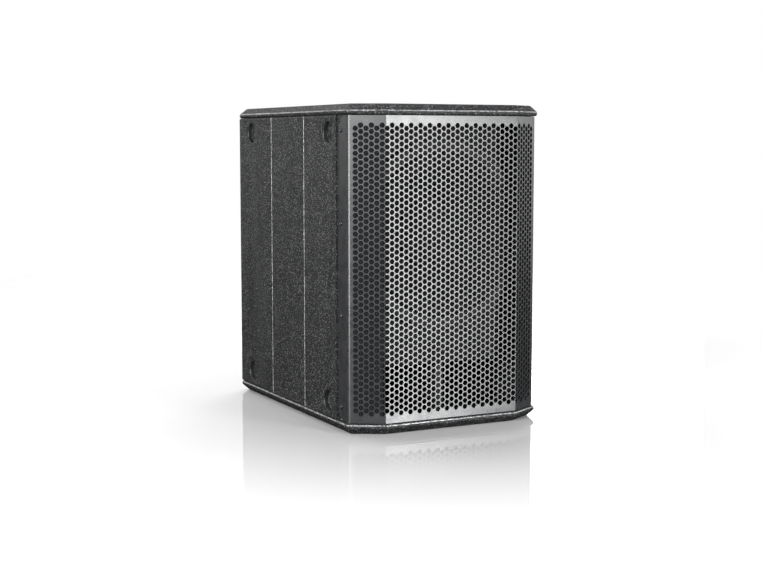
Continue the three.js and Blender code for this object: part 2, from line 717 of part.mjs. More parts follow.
// A can standing forwards off a board's front face: radius, length, x, z.
function can(face, [radius, length, x, z]) {
  return rod(radius, face - length, face, "y", [x, 0, z], 16);
}

// The amplifier's output filters, transformer and heat spreader, behind the heat sink.
function addAmplifierBoard() {
  const rear = 206;
  const face = rear - 1;
  const cans = [[11, 32, -70, 340], [11, 32, -70, 368], [14, 18, 60, 350], [14, 18, 60, 388]];
  const transformer = block([-30, 25], [face - 14, face], [330, 352]);
  const spreader = block([-95, -15], [face - 24, face], [420, 428]);
  const parts = [...cans.map((row) => can(face, row)), transformer, spreader];
  add("amplifier_board", boardOnPillars([-104, 104], [304, 456], rear, parts), "circuit_board");
}

// The switching supply's transformer, reservoir cans and choke.
function addPowerSupplyBoard() {
  const rear = 192;
  const face = rear - 1;
  const cans = [[15, 40, -62, 200], [15, 40, -96, 200], [8, 26, 102, 190]];
  const transformer = block([-28, 28], [face - 34, face], [176, 222]);
  const choke = block([50, 84], [face - 20, face], [184, 214]);
  const parts = [...cans.map((row) => can(face, row)), transformer, choke];
  add("power_supply_board", boardOnPillars([-118, 118], [142, 248], rear, parts), "circuit_board");
}

// The board that carries the knobs' potentiometers and the buttons' switches.
function addControlBoard() {
  const rear = 212;
  const parts = [];
  for (const x of Object.values(KNOB_XS)) {
    parts.push(rod(8, rear - 1, 220, "y", [x, 0, CONTROL_ROW_Z], 12));
  }
  for (const x of Object.values(BUTTON_XS)) {
    parts.push(block([x - 5, x + 5], [rear - 1, 218], [CONTROL_ROW_Z - 5, CONTROL_ROW_Z + 5]));
  }
  const rows = [CONTROL_ROW_Z - 15, CONTROL_ROW_Z + 15];
  add("control_board", boardOnPillars([-112, 112], rows, rear, parts), "circuit_board");
}

// A three-pin socket shell at x: a flange on the panel and a round body through it.
function jackHousing(x) {
  const face = SEAT_Y + JACK_FLANGE;
  const flangeZ = [JACK_ROW_Z - JACK_FLANGE_Z, JACK_ROW_Z + JACK_FLANGE_Z];
  const flange = block([x - JACK_FLANGE_X, x + JACK_FLANGE_X], [SEAT_Y, face], flangeZ);
  return join(flange, rod(JACK_BODY_R, SEAT_Y - JACK_REAR, face - 1, "y", [x, 0, JACK_ROW_Z]));
}

// One small rod for each of the three contacts, between two places along Y.
function contacts(x, radius, from, to) {
  return JACK_CONTACTS.map(([u, v]) => rod(radius, from, to, "y", [x + u, 0, JACK_ROW_Z + v], 8));
}

// A link output has three pins standing in an open well.
function addLinkOutput(channel, x) {
  const rear = SEAT_Y - JACK_REAR;
  const face = SEAT_Y + JACK_FLANGE;
  const well = rod(JACK_WELL_R, rear + 3, face + 1, "y", [x, 0, JACK_ROW_Z]);
  const pins = contacts(x, 1.25, rear + 2, face - 4.8);
  add(`link_output_${channel}`, join(cut(jackHousing(x), well), ...pins), "jack_plastic");
}

// An input has a drilled insert in its well, and a release tab that slides in a notch above it.
function addInput(channel, x) {
  const at = [x, 0, JACK_ROW_Z];
  const rear = SEAT_Y - JACK_REAR;
  const face = SEAT_Y + JACK_FLANGE;
  const top = JACK_ROW_Z + JACK_FLANGE_Z;
  const notch = block([x - 4.9, x + 4.9], [SEAT_Y - 1, face + 1], [JACK_ROW_Z + 11, top + 1]);
  const body = rod(JACK_BODY_R, rear, SEAT_Y, "y", at);
  const notched = join(cut(jackHousing(x), notch), cut(body, notch));
  const well = rod(JACK_WELL_R, rear + 3, face + 1, "y", at);
  const insert = rod(JACK_WELL_R - 1.8, rear + 2, face - 1.4, "y", at);
  const holes = contacts(x, 1.3, face - 12, face);
  add(`input_${channel}`, cut(join(cut(notched, well), insert), ...holes), "jack_plastic");
  const tab = block([x - 4.5, x + 4.5], [SEAT_Y + 1.8, face + 1.4], [JACK_ROW_Z + 12.2, top]);
  add(`release_tab_${channel}`, tab, "screw_steel");
}

function addPowerEntry() {
  const wall = 1.8;
  const [holeX, holeZ] = INLET_HOLE;
  const [flangeX, flangeZ, flangeThick] = INLET_FLANGE;
  const x = [INLET_X - holeX + 0.4, INLET_X + holeX - 0.4];
  const z = [POWER_ROW_Z - holeZ + 0.4, POWER_ROW_Z + holeZ - 0.4];
  const face = SEAT_Y + flangeThick;
  const rear = INLET_REAR_Y;
  const across = [INLET_X - flangeX, INLET_X + flangeX];
  const flange = block(across, [SEAT_Y, face], [POWER_ROW_Z - flangeZ, POWER_ROW_Z + flangeZ]);
  const body = block(x, [rear, face - 1], z);
  const well = block([x[0] + wall, x[1] - wall], [rear + 2, face + 1], [z[0] + wall, z[1] - wall]);
  const blades = [[-7, -2], [7, -2], [0, 3]].map(([u, v]) => {
    const middleZ = POWER_ROW_Z + v;
    return block([INLET_X + u - 1, INLET_X + u + 1], [rear + 1, face - 5], [middleZ - 2, middleZ + 2]);
  });
  add("mains_inlet", join(cut(join(flange, body), well), ...blades), "jack_plastic");
}

// A framed rocker that stands tilted to its off side.
function addPowerSwitch() {
  const [holeX, holeZ] = ROCKER_HOLE;
  const rear = ROCKER_REAR_Y;
  const face = SEAT_Y + ROCKER_BEZEL;
  const span = (half, at) => [at - half, at + half];
  const bezel = block(span(holeX + 1.8, ROCKER_X), [SEAT_Y, face], span(holeZ + 2, POWER_ROW_Z));
  const body = block(span(holeX - 0.4, ROCKER_X), [rear, face - 1], span(holeZ - 0.4, POWER_ROW_Z));
  const well = block(span(holeX - 1.6, ROCKER_X), [rear + 2, face + 1], span(holeZ - 1.6, POWER_ROW_Z));
  add("power_switch_frame", cut(join(bezel, body), well), "jack_plastic");

  const long = 8;
  const outline = [
    [-3, -5],
    [2, -long],
    [5.5, -long + 0.3],
    [3.4, 0],
    [5.5, long - 0.3],
    [2, long],
    [-3, 5],
  ];
  const rocker = prism("yz", outline, -holeX + 2.2, holeX - 2.2);
  const made = add("power_rocker", rocker, "knob_plastic");
  made.position.set(ROCKER_X, SEAT_Y - 0.6, POWER_ROW_Z);
  made.rotation.x = -ROCKER_TILT;
}

function addKnob(name, x) {
  const at = [x, 0, CONTROL_ROW_Z];
  const back = SEAT_Y + 2 * GAP;
  const front = back + KNOB_HEIGHT;
  const cap = turned([[0, back], [KNOB_R, back], [KNOB_TIP_R, front], [0, front]], "y", at, 24);
  const shaft = rod(SHAFT_R, SHAFT_REAR_Y, back + 1, "y", at, 16);
  const grooveZ = [CONTROL_ROW_Z + 1, CONTROL_ROW_Z + KNOB_R + 1];
  const groove = block([x - 0.7, x + 0.7], [front - 0.8, front + 1], grooveZ);
  add(name, cut(join(cap, shaft), groove), "knob_plastic");
}

function addKnobsAndButtons() {
  for (const [name, x] of Object.entries(KNOB_XS)) addKnob(name, x);
  for (const [name, x] of Object.entries(BUTTON_XS)) {
    const button = rod(BUTTON_R, BUTTON_REAR_Y, SEAT_Y + BUTTON_PROUD, "y", [x, 0, CONTROL_ROW_Z], 16);
    add(name, button, "knob_plastic");
  }
}

addEndPlates();
addBoards();
addGrille();
addCupsAndFeet();
addHandle();
addDriverFrame();
addCone();
addMotor();
addAmpPanel();
addHeatSink();
addAmplifierBoard();
addPowerSupplyBoard();
addControlBoard();
for (const [label, x] of Object.entries(JACK_XS)) {
  const [kind, channel] = label.split("_");
  if (kind === "link") addLinkOutput(channel, x);
  else addInput(channel, x);
}
addPowerEntry();
addPowerSwitch();
addKnobsAndButtons();

export default cabinet;
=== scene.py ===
import json
import math

import bmesh
import bpy
from mathutils import Matrix, Vector
from mathutils.geometry import delaunay_2d_cdt
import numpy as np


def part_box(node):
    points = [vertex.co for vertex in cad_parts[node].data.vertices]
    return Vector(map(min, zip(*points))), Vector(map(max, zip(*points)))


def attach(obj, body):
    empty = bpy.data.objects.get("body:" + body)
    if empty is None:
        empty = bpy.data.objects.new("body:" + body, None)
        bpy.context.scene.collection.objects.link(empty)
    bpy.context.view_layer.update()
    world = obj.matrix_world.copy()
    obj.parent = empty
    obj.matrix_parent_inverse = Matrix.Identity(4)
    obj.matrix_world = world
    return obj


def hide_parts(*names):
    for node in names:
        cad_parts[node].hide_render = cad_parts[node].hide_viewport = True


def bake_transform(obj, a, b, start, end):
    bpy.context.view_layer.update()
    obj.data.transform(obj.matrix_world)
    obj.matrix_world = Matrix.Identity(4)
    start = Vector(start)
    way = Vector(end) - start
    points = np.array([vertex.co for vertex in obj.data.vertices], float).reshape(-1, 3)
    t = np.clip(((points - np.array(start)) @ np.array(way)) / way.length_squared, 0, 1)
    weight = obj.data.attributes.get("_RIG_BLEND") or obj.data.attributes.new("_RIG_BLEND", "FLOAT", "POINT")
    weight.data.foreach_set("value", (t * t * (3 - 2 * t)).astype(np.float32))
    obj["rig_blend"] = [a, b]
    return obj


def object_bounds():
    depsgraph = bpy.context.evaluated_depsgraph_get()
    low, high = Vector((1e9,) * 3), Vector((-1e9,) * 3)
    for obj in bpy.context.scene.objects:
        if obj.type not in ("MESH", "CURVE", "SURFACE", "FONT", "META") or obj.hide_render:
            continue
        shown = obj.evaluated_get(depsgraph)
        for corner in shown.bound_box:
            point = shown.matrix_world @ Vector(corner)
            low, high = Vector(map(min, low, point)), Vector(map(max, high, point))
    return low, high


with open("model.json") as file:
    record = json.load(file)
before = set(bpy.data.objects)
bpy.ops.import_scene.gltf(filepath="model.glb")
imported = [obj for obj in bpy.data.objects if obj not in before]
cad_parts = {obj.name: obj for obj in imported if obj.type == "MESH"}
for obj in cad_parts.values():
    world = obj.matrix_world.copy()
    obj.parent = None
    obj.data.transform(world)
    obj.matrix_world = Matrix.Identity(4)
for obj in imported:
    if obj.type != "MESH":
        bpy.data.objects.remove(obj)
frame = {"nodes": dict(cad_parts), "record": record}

cad_low, cad_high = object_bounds()

MM = 0.001
NODES = frame["nodes"]
CABINET = "cabinet"
CONE_BODY = "cone_assembly"
LATHE_STEPS = 96


# --- node material helpers


MATERIALS = {}


class Nodes:
    """A node tree: short calls that add nodes and return their output sockets."""

    def __init__(self, owner, place):
        owner.use_nodes = True
        self.tree = owner.node_tree
        self.place = self.add("ShaderNodeTexCoord", {}).outputs[place]

    def link(self, value, socket):
        """Links a socket to another one, or gives it a value."""
        if isinstance(value, bpy.types.NodeSocket):
            self.tree.links.new(value, socket)
        else:
            socket.default_value = value

    def add(self, kind, inputs, **settings):
        node = self.tree.nodes.new(kind)
        for key, value in settings.items():
            setattr(node, key, value)
        for key, value in inputs.items():
            self.link(value, node.inputs[key])
        return node

    def spread(self, value, low, high, to_low=0.0, to_high=1.0):
        inputs = {"Value": value, "From Min": low, "From Max": high, "To Min": to_low, "To Max": to_high}
        return self.add("ShaderNodeMapRange", inputs).outputs["Result"]

    def maths(self, operation, first, second):
        return self.add("ShaderNodeMath", {0: first, 1: second}, operation=operation).outputs[0]

    def mix(self, share, first, second):
        return self.add("ShaderNodeMixShader", {0: share, 1: first, 2: second}).outputs[0]

    def end(self, node, value):
        self.link(value, self.tree.nodes[node].inputs["Surface"])


class Finish(Nodes):
    """One procedural material, kept under its name in MATERIALS."""

    def __init__(self, name, colour, roughness, metallic=0.0, specular=0.5):
        material = bpy.data.materials.new(name)
        MATERIALS[name] = material
        super().__init__(material, "Object")
        self.shader = self.tree.nodes["Principled BSDF"]
        self.shader.inputs["Base Color"].default_value = (*colour, 1)
        self.shader.inputs["Roughness"].default_value = roughness
        self.shader.inputs["Metallic"].default_value = metallic
        self.shader.inputs["Specular IOR Level"].default_value = specular
        self.colour = colour

    def stretched(self, scale):
        return self.add("ShaderNodeMapping", {"Vector": self.place, "Scale": scale}).outputs["Vector"]

    def noise(self, scale, detail=3.0, roughness=0.55, vector=None, distortion=0.0):
        inputs = {"Vector": vector or self.place, "Scale": scale, "Detail": detail, "Roughness": roughness}
        return self.add("ShaderNodeTexNoise", {**inputs, "Distortion": distortion}).outputs["Fac"]

    def cells(self, scale, feature="F1"):
        inputs = {"Vector": self.place, "Scale": scale}
        return self.add("ShaderNodeTexVoronoi", inputs, feature=feature).outputs["Distance"]

    def waves(self, scale, direction="X", distortion=0.0):
        inputs = {"Vector": self.place, "Scale": scale, "Distortion": distortion}
        return self.add("ShaderNodeTexWave", inputs, bands_direction=direction).outputs["Fac"]

    def blend(self, factor, first, second):
        node = self.add("ShaderNodeMix", {"Factor": factor}, data_type="RGBA")
        for socket, value in ((node.inputs[6], first), (node.inputs[7], second)):
            self.link((*value, 1) if isinstance(value, tuple) else value, socket)
        return node.outputs[2]

    def shade(self, amount):
        return tuple(c * amount for c in self.colour)

    def set(self, name, value):
        self.link(value, self.shader.inputs[name])

    def tint(self, mask, low, high, at_low, at_high):
        """Base colour from one shade to another as the mask goes from low to high."""
        share = self.spread(mask, low, high)
        self.set("Base Color", self.blend(share, self.shade(at_low), self.shade(at_high)))

    def satin(self, mask, smooth, rough):
        """Roughness over the middle part of the mask's range."""
        self.set("Roughness", self.spread(mask, 0.3, 0.7, smooth, rough))

    def relief(self, height, depth, strength):
        """Bump up to a depth in millimetres."""
        inputs = {"Height": height, "Distance": depth * MM, "Strength": strength}
        self.set("Normal", self.add("ShaderNodeBump", inputs).outputs["Normal"])


# --- materials


def texture_paint():
    """Sprayed texture paint: a fine satin peel scattered with small glossy beads, whose tips carry painted
    glints: bright spots in the base colour.
    """
    f = Finish("texture_paint", (0.012, 0.0125, 0.0134), 0.42, specular=0.3)
    cell = f.add("ShaderNodeTexVoronoi", {"Vector": f.place, "Scale": 560.0})
    chance = f.add("ShaderNodeSeparateColor", {"Color": cell.outputs["Color"]}).outputs[0]
    beads = f.spread(cell.outputs["Distance"], 0.46, 0.28)
    painted_glint_strength = f.maths("POWER", f.spread(chance, 0.25, 1.0), 2.3)
    painted_glints = f.maths("MULTIPLY", beads, painted_glint_strength)
    grains = f.noise(620, 3, 0.6)
    height = f.maths("ADD", f.maths("MULTIPLY", beads, 0.6), grains)
    f.relief(height, 0.55, 0.8)
    tinted = f.blend(f.spread(grains, 0.36, 0.64), f.shade(0.35), f.shade(1.55))
    # Painted glints: the base colour climbs to a pale grey at the tips of some beads.
    f.set("Base Color", f.blend(painted_glints, tinted, (0.46, 0.464, 0.468)))
    f.set("Roughness", f.spread(painted_glints, 0, 1, 0.52, 0.24))


def painted_highlight_bead():
    """Texture paint pooled on a rounded edge: glossier, and many times lighter in colour as a painted
    highlight, broken up by noise.
    """
    f = Finish("painted_highlight_bead", (0.10, 0.101, 0.104), 0.24, specular=1.0)
    painted_highlight_breaks = f.noise(260, 3, 0.65)
    # Painted highlight: the base colour climbs to 0.42 where the noise is high.
    f.tint(painted_highlight_breaks, 0.45, 0.54, 0.3, 4.2)
    f.relief(painted_highlight_breaks, 0.5, 0.6)
    f.set("Roughness", f.spread(painted_highlight_breaks, 0.35, 0.65, 0.4, 0.18))


def grille_paint():
    """Satin powder coat on steel: a very fine orange peel with slight dust."""
    f = Finish("grille_paint", (0.045, 0.046, 0.048), 0.27, 0.3, 1.0)
    peel = f.noise(1500, 2, 0.5)
    f.relief(peel, 0.03, 0.25)
    dust = f.noise(60, 4, 0.6)
    f.satin(dust, 0.24, 0.34)
    f.tint(dust, 0.3, 0.75, 0.85, 1.15)


def moulded(name, colour, roughness, grain=1400, depth=0.06):
    """Injection-moulded plastic: spark-eroded grain and faint handling marks."""
    f = Finish(name, colour, roughness)
    grains = f.cells(grain)
    marks = f.noise(45, 5, 0.65, distortion=0.6)
    f.relief(grains, depth, 0.5)
    f.satin(marks, roughness - 0.07, roughness + 0.1)
    f.tint(marks, 0.35, 0.7, 0.85, 1.3)


def rubber(name, colour):
    f = Finish(name, colour, 0.75)
    bloom = f.noise(70, 5, 0.6)
    f.relief(f.noise(1100, 3, 0.6), 0.12, 0.6)
    f.tint(bloom, 0.45, 0.75, 0.9, 2.0)
    f.satin(bloom, 0.65, 0.85)


def flat_paint(name, tone):
    """Rolled dark paint on plywood, with the grain just showing."""
    f = Finish(name, (tone, tone, tone * 1.05), 0.6, specular=0.15)
    grain = f.noise(18, 6, 0.6, f.stretched((1.5, 10, 14)))
    roller = f.noise(380, 3, 0.5)
    f.relief(f.maths("ADD", grain, f.maths("MULTIPLY", roller, 0.5)), 0.25, 0.5)
    f.tint(grain, 0.35, 0.65, 0.85, 1.15)
    f.satin(roller, 0.5, 0.7)


def birch_ply():
    """Birch plywood lying flat: pale grain on the faces and alternate plies across its thickness."""
    f = Finish("birch_ply", (0.52, 0.38, 0.22), 0.6)
    grain = f.noise(14, 6, 0.62, f.stretched((1.2, 12, 20)))
    plies = f.waves(105, "Z", distortion=0.3)
    grained = f.blend(f.spread(grain, 0.35, 0.65), f.shade(0.75), f.shade(1.12))
    f.set("Base Color", f.blend(f.spread(plies, 0.42, 0.58, 0.0, 0.35), grained, (0.30, 0.19, 0.10)))
    f.relief(grain, 0.15, 0.5)
    f.satin(grain, 0.5, 0.7)


def foam(name, tone):
    f = Finish(name, (tone, tone * 1.04, tone * 1.12), 0.95, specular=0.1)
    pores = f.cells(420)
    f.relief(pores, 0.9, 1.0)
    # Darker at the bottom of each pore: painted shade in the hollows.
    f.tint(pores, 0.1, 0.6, 0.4, 1.4)
    f.satin(f.noise(60), 0.85, 1.0)


def metal(name, colour, roughness, along):
    """Machined or drawn metal: fine lines along one axis, with clouded gloss."""
    f = Finish(name, colour, roughness, 1.0)
    stretch = {"X": (0.04, 1, 1), "Z": (1, 1, 0.04)}[along]
    lines = f.noise(1300, 4, 0.6, f.stretched(stretch))
    clouds = f.noise(40, 3, 0.5)
    f.relief(lines, 0.02, 0.5)
    f.satin(clouds, roughness - 0.06, roughness + 0.12)
    f.tint(lines, 0.3, 0.7, 0.8, 1.15)


def powder_coat(name, colour):
    f = Finish(name, colour, 0.5)
    wear = f.noise(30, 5, 0.6)
    f.relief(f.cells(900, "SMOOTH_F1"), 0.12, 0.5)
    f.satin(wear, 0.42, 0.6)
    f.tint(wear, 0.35, 0.7, 0.85, 1.25)


def cone_paper():
    """Pressed pulp: matted fibres of two lengths."""
    f = Finish("cone_paper", (0.009, 0.009, 0.0095), 0.8, specular=0.2)
    fibres = f.noise(520, 5, 0.7, distortion=2.2)
    felt = f.noise(90, 4, 0.6)
    f.relief(fibres, 0.3, 0.8)
    f.tint(fibres, 0.35, 0.65, 0.7, 1.5)
    f.satin(felt, 0.7, 0.9)


def woven(name, colour, pitch, roughness):
    """Cloth woven along X and Z, dipped in resin or dope."""
    f = Finish(name, colour, roughness, specular=0.25)
    warp = f.waves(pitch, "X", distortion=0.4)
    weft = f.waves(pitch, "Z", distortion=0.4)
    cloth = f.maths("ADD", warp, weft)
    f.relief(cloth, 0.15, 0.8)
    # Darker where the weave sinks between threads: painted shade.
    f.tint(cloth, 0.6, 1.6, 0.6, 1.25)
    f.satin(f.noise(60), roughness - 0.1, roughness + 0.1)


def ferrite():
    f = Finish("magnet_ferrite", (0.045, 0.046, 0.05), 0.7)
    grit = f.noise(700, 5, 0.65)
    chips = f.cells(60)
    f.relief(f.maths("ADD", grit, f.spread(chips, 0.0, 0.12)), 0.2, 0.6)
    f.tint(grit, 0.35, 0.65, 0.7, 1.4)
    f.satin(grit, 0.55, 0.8)


def copper_winding():
    """Turns of fine copper wire stacked along Y, on a pale former."""
    f = Finish("coil_copper", (0.62, 0.30, 0.14), 0.32, 1.0)
    turns = f.waves(900, "Y")
    f.relief(turns, 0.12, 0.9)
    # Darker in the grooves between turns: painted shade.
    f.tint(turns, 0.2, 0.8, 0.45, 1.2)
    f.satin(f.noise(80), 0.25, 0.42)


def circuit_board():
    """Green solder mask with faint tracks under it."""
    f = Finish("circuit_board", (0.012, 0.085, 0.035), 0.38)
    inputs = {"Vector": f.place, "Scale": 180.0, "Mortar Size": 0.12}
    tracks = f.add("ShaderNodeTexBrick", inputs).outputs["Fac"]
    f.set("Base Color", f.blend(tracks, f.shade(1.0), f.shade(2.2)))
    f.relief(tracks, 0.05, 0.6)
    f.satin(f.noise(90), 0.3, 0.5)


def panel_ink():
    """Screen-printed pale ink, slightly mottled."""
    f = Finish("panel_ink", (0.72, 0.72, 0.70), 0.55)
    mottle = f.noise(900, 4, 0.6)
    f.tint(mottle, 0.35, 0.65, 0.8, 1.1)
    f.relief(mottle, 0.03, 0.5)
    f.satin(mottle, 0.45, 0.65)


def lamp(name, colour):
    """A tinted clear lens over a diffusing core."""
    f = Finish(name, colour, 0.12)
    core = f.noise(1500, 2, 0.5)
    f.set("Base Color", f.blend(core, f.shade(0.7), f.shade(1.2)))
    f.set("Coat Weight", 0.6)
    f.satin(core, 0.1, 0.2)
    f.set("Subsurface Weight", 0.3)


texture_paint()
painted_highlight_bead()
flat_paint("baffle_paint", 0.009)
# A lighter copy of the baffle paint for the port's shelf and divider: painted light inside the port.
flat_paint("port_painted_light", 0.03)
birch_ply()
foam("damping_foam", 0.075)
foam("facet_foam", 0.012)
grille_paint()
metal("screw_steel", (0.09, 0.09, 0.095), 0.35, "Z")
moulded("cup_plastic", (0.022, 0.023, 0.024), 0.3, 1800, 0.03)
rubber("foot_rubber", (0.012, 0.012, 0.012))
moulded("handle_plastic", (0.02, 0.02, 0.021), 0.5, 900, 0.1)
powder_coat("basket_paint", (0.016, 0.0165, 0.0175))
rubber("gasket_rubber", (0.007, 0.007, 0.007))
metal("black_oxide", (0.03, 0.03, 0.032), 0.5, "Z")
woven("surround_cloth", (0.009, 0.009, 0.0095), 260, 0.7)
woven("spider_cloth", (0.42, 0.28, 0.11), 300, 0.8)
cone_paper()
copper_winding()
metal("motor_steel", (0.42, 0.42, 0.43), 0.34, "X")
ferrite()
powder_coat("panel_paint", (0.022, 0.023, 0.025))
metal("heat_sink_alloy", (0.06, 0.06, 0.064), 0.4, "Z")
circuit_board()
moulded("jack_plastic", (0.014, 0.014, 0.015), 0.42, 1600, 0.04)
metal("tab_steel", (0.5, 0.49, 0.46), 0.3, "X")
moulded("control_plastic", (0.028, 0.028, 0.03), 0.45, 1600, 0.05)
panel_ink()
lamp("lamp_green", (0.03, 0.5, 0.08))
lamp("lamp_red", (0.35, 0.02, 0.015))


def dress(obj, slot):
    obj.data.materials.clear()
    obj.data.materials.append(MATERIALS[slot])


# --- measures of nodes


X, Y, Z = range(3)
LOW, HIGH = range(2)


def centre_of(node):
    low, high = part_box(node)
    return (low + high) / 2


def seat_on(node, axis, end):
    """The middle of a node's face at the low or high end of an axis."""
    seat = centre_of(node)
    seat[axis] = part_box(node)[end][axis]
    return seat


def size_mm(node):
    """A node's size along X, Y and Z in millimetres."""
    return [(high - low) / MM for low, high in zip(*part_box(node))]


# --- mesh helpers


SMOOTH_ANGLE = 35
SOFTENED_ANGLE = 25
FLAT_ANGLE = 0.6
WELD = 1e-6
# A rounded face takes the painted highlight look when its normal's height is between these two, so only
# edges tilted up towards the lights are lightened.
PAINTED_HIGHLIGHT_TILT = (0.05, 0.6)


def new_object(name, data):
    obj = bpy.data.objects.new(name, data)
    bpy.context.scene.collection.objects.link(obj)
    return obj


def mesh_from(work, name):
    """The bmesh as a named mesh."""
    mesh = bpy.data.meshes.new(name)
    work.to_mesh(mesh)
    work.free()
    return mesh


def closed_mesh(work, name):
    """The bmesh of a closed surface as a named mesh, with its faces turned outwards."""
    bmesh.ops.recalc_face_normals(work, faces=work.faces)
    return mesh_from(work, name)


def finish_piece(mesh, slot, body=CABINET, replaced=None, sharp=SMOOTH_ANGLE, look=None):
    """A mesh as a piece: smooth shading with sharp edges kept, its material and its body; a replaced node is
    hidden.
    """
    obj = new_object(mesh.name, mesh)
    for polygon in mesh.polygons:
        polygon.use_smooth = True
    mesh.set_sharp_from_angle(angle=math.radians(sharp))
    dress(obj, look or slot)
    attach(obj, body)
    if replaced:
        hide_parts(replaced)
    return obj


def softened(name, node, slot, width, segments=3, body=CABINET, look=None, painted_highlight_look=None):
    """A copy of a CAD node with its flat faces joined and its sharp edges rounded, in the node's place."""
    work = bmesh.new()
    work.from_mesh(NODES[node].data)
    bmesh.ops.remove_doubles(work, verts=work.verts, dist=WELD)
    bmesh.ops.dissolve_limit(work, angle_limit=math.radians(FLAT_ANGLE), verts=work.verts, edges=work.edges)
    limit = math.radians(SOFTENED_ANGLE)
    sharp = [e for e in work.edges if len(e.link_faces) == 2 and e.calc_face_angle(0) > limit]
    bmesh.ops.bevel(
        work,
        geom=sharp,
        offset=width * MM,
        segments=segments,
        affect="EDGES",
        profile=0.5,
        clamp_overlap=True,
        material=1 if painted_highlight_look else -1,
    )
    mesh = mesh_from(work, name)
    rounded = [polygon.index for polygon in mesh.polygons if polygon.material_index == 1]
    obj = finish_piece(mesh, slot, body, node, look=look)
    # Rounded faces tilted up get the lighter look: a painted highlight along the upper edges.
    if painted_highlight_look:
        mesh.materials.append(MATERIALS[painted_highlight_look])
        for index in rounded:
            polygon = mesh.polygons[index]
            polygon.material_index = int(PAINTED_HIGHLIGHT_TILT[0] < polygon.normal.z < PAINTED_HIGHLIGHT_TILT[1])
    return obj


def rectangle(x0, x1, y0, y1):
    return [(x0, y0), (x1, y0), (x1, y1), (x0, y1)]


def oval(x, y, across, up, count):
    """Points round an ellipse."""
    angles = [2 * math.pi * i / count for i in range(count)]
    return [(x + across * math.cos(angle), y + up * math.sin(angle)) for angle in angles]


def prism(name, near, far):
    """A closed bar between two outlines of matching points."""
    work = bmesh.new()
    near = [work.verts.new(point) for point in near]
    far = [work.verts.new(point) for point in far]
    for i in range(len(near)):
        j = (i + 1) % len(near)
        work.faces.new([near[i], near[j], far[j], far[i]])
    work.faces.new(far)
    work.faces.new(near[::-1])
    return closed_mesh(work, name)


def upright_bar(name, outline, low, high):
    """A bar of one (x, y) outline between two heights."""
    return prism(name, [(x, y, low) for x, y in outline], [(x, y, high) for x, y in outline])


def block_piece(name, low, high, slot, ease, body=CABINET, look=None):
    """A small block between two corners, with every edge rounded."""
    work = bmesh.new()
    bmesh.ops.create_cube(work, size=1)
    bmesh.ops.scale(work, vec=Vector(high) - Vector(low), verts=work.verts)
    bmesh.ops.translate(work, vec=(Vector(high) + Vector(low)) / 2, verts=work.verts)
    bmesh.ops.bevel(work, geom=list(work.edges), offset=ease * MM, segments=3, affect="EDGES", profile=0.5)
    return finish_piece(mesh_from(work, name), slot, body, look=look)


def cut_out(obj, cutter_mesh):
    """Subtracts a closed mesh from a piece, and leaves no modifier behind."""
    cutter = new_object("cutter", cutter_mesh)
    modifier = obj.modifiers.new("cut", "BOOLEAN")
    modifier.operation = "DIFFERENCE"
    modifier.solver = "EXACT"
    modifier.object = cutter
    bpy.context.view_layer.update()
    result = obj.evaluated_get(bpy.context.evaluated_depsgraph_get())
    cut = bpy.data.meshes.new_from_object(result)
    obj.modifiers.clear()
    obj.data = cut
    bpy.data.objects.remove(cutter)


# --- turned pieces


ON_AXIS = 1e-7
EASE_STEPS = 3
EASE_REACH = 0.45
AXES = {
    "X": Matrix(((0, 0, 1), (0, 1, 0), (-1, 0, 0))),
    "-X": Matrix(((0, 0, -1), (0, 1, 0), (1, 0, 0))),
    "Y": Matrix(((1, 0, 0), (0, 0, 1), (0, -1, 0))),
    "Z": Matrix.Identity(3),
}


def in_metres(profile):
    return [(radius * MM, height * MM) for radius, height in profile]


def lathe_mesh(name, profile, axis, centre, steps=LATHE_STEPS):
    """A closed (radius, height) profile turned about an axis through centre; heights run along the axis."""
    work = bmesh.new()
    turn = AXES[axis]
    rings = []
    for radius, height in profile:
        if radius < ON_AXIS:
            rings.append([work.verts.new(turn @ Vector((0, 0, height)) + centre)])
            continue
        points = [(*point, height) for point in oval(0, 0, radius, radius, steps)]
        rings.append([work.verts.new(turn @ Vector(point) + centre) for point in points])
    closed = all(len(r) > 1 for r in rings)
    for low, high in zip(rings, rings[1:] + rings[:1] if closed else rings[1:]):
        for i in range(steps):
            j = (i + 1) % steps
            corners = [low[i % len(low)], low[j % len(low)], high[j % len(high)], high[i % len(high)]]
            kept = list(dict.fromkeys(corners))
            if len(kept) > 2:
                work.faces.new(kept)
    return closed_mesh(work, name)


def eased(points, radius, closed=True):
    """A (radius, height) outline with each corner rounded, apart from the ones on the axis."""
    made = []
    count = len(points)
    for i, point in enumerate(points):
        here = Vector(point)
        before = Vector(points[i - 1])
        after = Vector(points[(i + 1) % count])
        at_end = not closed and i in (0, count - 1)
        if at_end or here.x < ON_AXIS:
            made.append(tuple(here))
            continue
        reach = min(radius, (before - here).length * EASE_REACH, (after - here).length * EASE_REACH)
        start = here + (before - here).normalized() * reach
        end = here + (after - here).normalized() * reach
        for step in range(EASE_STEPS + 1):
            t = step / EASE_STEPS
            made.append(tuple(start * (1 - t) ** 2 + here * 2 * t * (1 - t) + end * t * t))
    return made


def turned(name, profile, seat, slot, axis="Y", ease=0.0, steps=LATHE_STEPS, **placing):
    """A turned piece in the assembly, from a profile in millimetres."""
    outline = in_metres(profile)
    if ease:
        outline = eased(outline, ease * MM, all(r > 0 for r, _ in profile))
    return finish_piece(lathe_mesh(name, outline, axis, seat, steps), slot, **placing)


